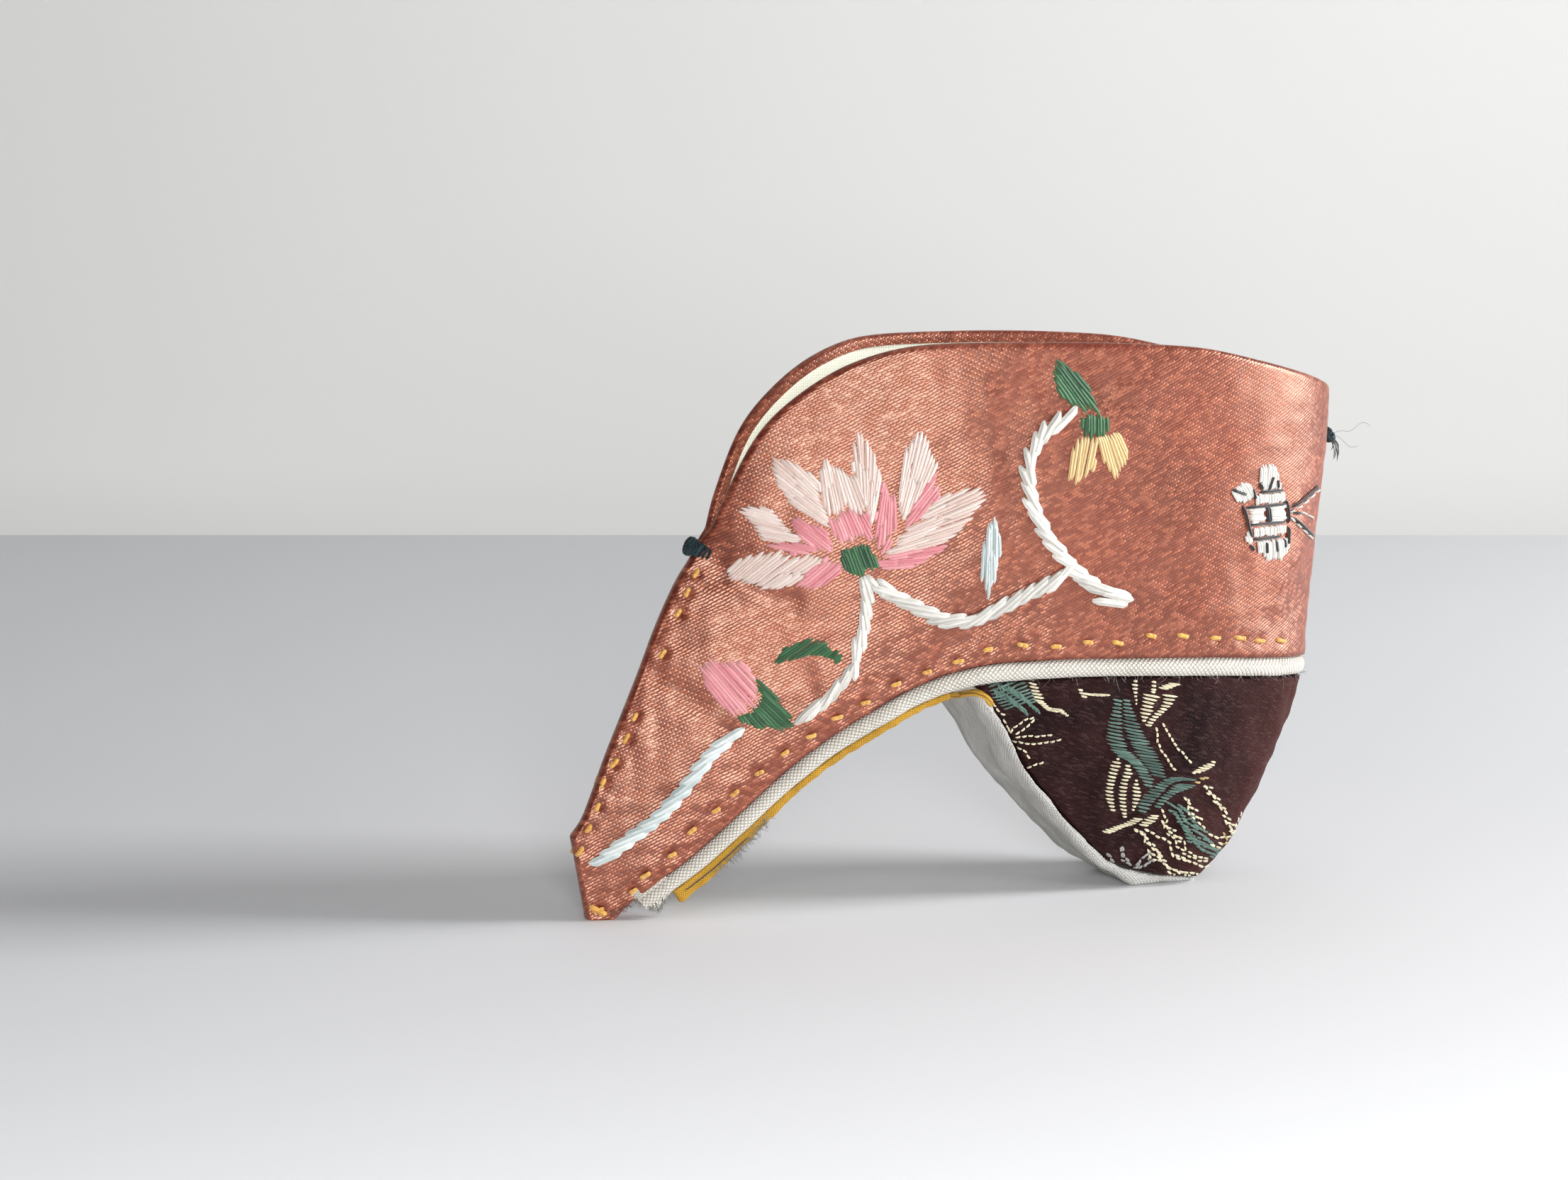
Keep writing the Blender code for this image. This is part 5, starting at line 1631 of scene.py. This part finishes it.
SATIN_FIBRE = floss("satin_fibre", (0.66, 0.25, 0.16), (0.34, 0.09, 0.06))
TAPE_THREAD = floss("tape_thread", (0.69, 0.39, 0.045), (0.42, 0.21, 0.02), 0.7, 0.05)
TAPE_SHADE = floss("tape_shade", (0.16, 0.055, 0.018), (0.09, 0.03, 0.012))
FOLD_LINE_RADIUS = 0.00013
HOOK_RADIUS = 0.00055
HOOK_LIFT = 0.0003


def fold_line():
    """A dark strand of painted shade in the slit between the tape's two layers where it is folded at the
    front.
    """
    tree = tree_of(cloths["front_tape_left"])
    t = np.linspace(station_at(TAPE_FOLD_RUNS[0]), station_at(TAPE_FOLD_RUNS[1]), 24)
    sunk = piping_centre(t) + below(t) * (piping_radius(t) + TAPE_FOLD_DEPTH)[:, None]
    places = []
    for place, out in zip(sunk, outward(t)):
        hit = tree.ray_cast(Vector(place + out * 0.01), Vector(-out))
        if hit[0]:
            places.append(np.array(hit[0]))
    soup = Soup()
    strand(soup, places, FOLD_LINE_RADIUS)
    strand(soup, [mirrored(p) for p in places], FOLD_LINE_RADIUS)
    return soup.make("tape_fold_shade", TAPE_SHADE)


def tape_hook():
    """The tape's rear end, turned down over the brocade."""
    surface = tree_of(cloths["sole"], cloths["heel"])
    found = [pixel_hit(surface, x, y) for x, y in walk(TAPE_HOOK, 3)[0]]
    tape = np.array([v.co for v in cloths["rear_tape_left"].data.vertices])
    end = tape[tape[:, 0] > tape[:, 0].max() - 0.0008].mean(0)
    places = np.array([np.array(place + normal * HOOK_LIFT) for place, normal in found])
    places = np.concatenate([np.linspace(end, places[0], 5)[:-1], places])
    for _ in range(14):
        places[1:-1] = (places[:-2] + places[2:] + 2 * places[1:-1]) / 4
    soup = Soup()
    strand(soup, places, HOOK_RADIUS, 10)
    strand(soup, mirrored(places), HOOK_RADIUS, 10)
    return soup.make("tape_hook", TAPE_THREAD)


for made, node in (
    (raw_end(), "piping"), (white_fibres(), "piping"), (satin_fibres(), "upper"),
    (loose_hairs(), "back_knot"), (fold_line(), "front_tape_left"), (tape_hook(), "rear_tape_left"),
):
    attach(made, "root")

for made, node in ((front_knot(), "front_knot"), (back_knot(), "back_knot")):
    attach(made, "root")
    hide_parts(node)

# Table, wall, lights and camera


def plane(name, corners, material):
    mesh = bpy.data.meshes.new(name)
    mesh.from_pydata(corners, [], [(0, 1, 2, 3)])
    return place_mesh(name, mesh, material)


def matt(name, colour):
    n = Nodes(name)
    return n.set(Base_Color=colour, Roughness=0.85, Specular_IOR_Level=0.2)


TABLE_PAINT = (0.80, 0.808, 0.828)
WALL_PAINT = (0.92, 0.92, 0.90)
WALL_BEHIND = 0.5  # the wall's distance behind the table's edge
edge_ray = pixel_ray(PHOTO_SIZE[0] / 2, TABLE_EDGE_ROW)
edge_place = CAMERA_PLACE + edge_ray * (-CAMERA_PLACE.z / edge_ray.z)
back = Vector((LOOK.x, LOOK.y, 0.0)).normalized()
table_corners = [edge_place + SIDE * s + back * d for s, d in ((-3, -3.2), (3, -3.2), (3, 0), (-3, 0))]
wall_foot = edge_place + back * WALL_BEHIND
wall_corners = [wall_foot + SIDE * s + Vector((0, 0, h)) for s, h in ((-4, -1), (4, -1), (4, 4), (-4, 4))]
table_top = plane("table", table_corners, matt("table_paint", TABLE_PAINT))
backdrop = plane("wall", wall_corners, matt("wall_paint", WALL_PAINT))


SHOE = (0.0, 0.0, 0.04)
ROOM_COLOUR = (1.0, 1.0, 1.0, 1.0)
ROOM_LIGHT = 0.04


def area_light(name, place, size, power, target=SHOE, spread=180.0):
    """A rectangular light that faces its target, with its size in metres and its power in watts."""
    light = bpy.data.lights.new(name, "AREA")
    light.shape = "RECTANGLE"
    light.size, light.size_y = size
    light.energy = power
    light.spread = math.radians(spread)
    made = bpy.data.objects.new(name, light)
    made.location = place
    made.rotation_euler = (Vector(target) - Vector(place)).to_track_quat("-Z", "Y").to_euler()
    bpy.context.scene.collection.objects.link(made)


def around(azimuth, elevation, distance=1.0):
    """A place round the shoe. The azimuth is in degrees from its near side towards its heel."""
    a, e = math.radians(azimuth), math.radians(elevation)
    flat = distance * math.cos(e)
    return (flat * math.sin(a), -flat * math.cos(a), distance * math.sin(e))


area_light("window_left", around(-17, 12), (0.26, 0.24), 6.6)
area_light("window_right", around(56, 5), (0.40, 0.16), 2.6)
area_light("window_back", around(78, 9), (0.40, 0.26), 3.4)
area_light("window_high", around(74, 28), (0.28, 0.28), 8.2)
area_light("ceiling", (0.0, 0.1, 1.2), (1.0, 1.0), 1.6)
area_light("table_front", (0.0, -0.52, 0.5), (0.6, 0.2), 1.0, (0.0, -0.40, 0.0), 70.0)
wash_place = edge_place + back * 0.12 + Vector((0, 0, -0.7))
area_light("wall_wash", wash_place, (2.5, 0.3), 6.1, wall_foot + Vector((0, 0, 0.5)))
bpy.context.scene.view_settings.view_transform = "Standard"
world = bpy.data.worlds.new("room")
world.use_nodes = True
world.node_tree.nodes["Background"].inputs[0].default_value = ROOM_COLOUR
world.node_tree.nodes["Background"].inputs[1].default_value = ROOM_LIGHT
bpy.context.scene.world = world

camera = bpy.data.objects.new("camera", bpy.data.cameras.new("camera"))
bpy.context.scene.collection.objects.link(camera)
camera.data.sensor_width = SENSOR_WIDTH
camera.data.lens = SENSOR_WIDTH * FOCAL_PIXELS / PHOTO_SIZE[0]
camera.data.clip_start = 0.01
camera.location = CAMERA_PLACE
camera.rotation_euler = LOOK.to_track_quat("-Z", "Y").to_euler()
bpy.context.scene.camera = camera
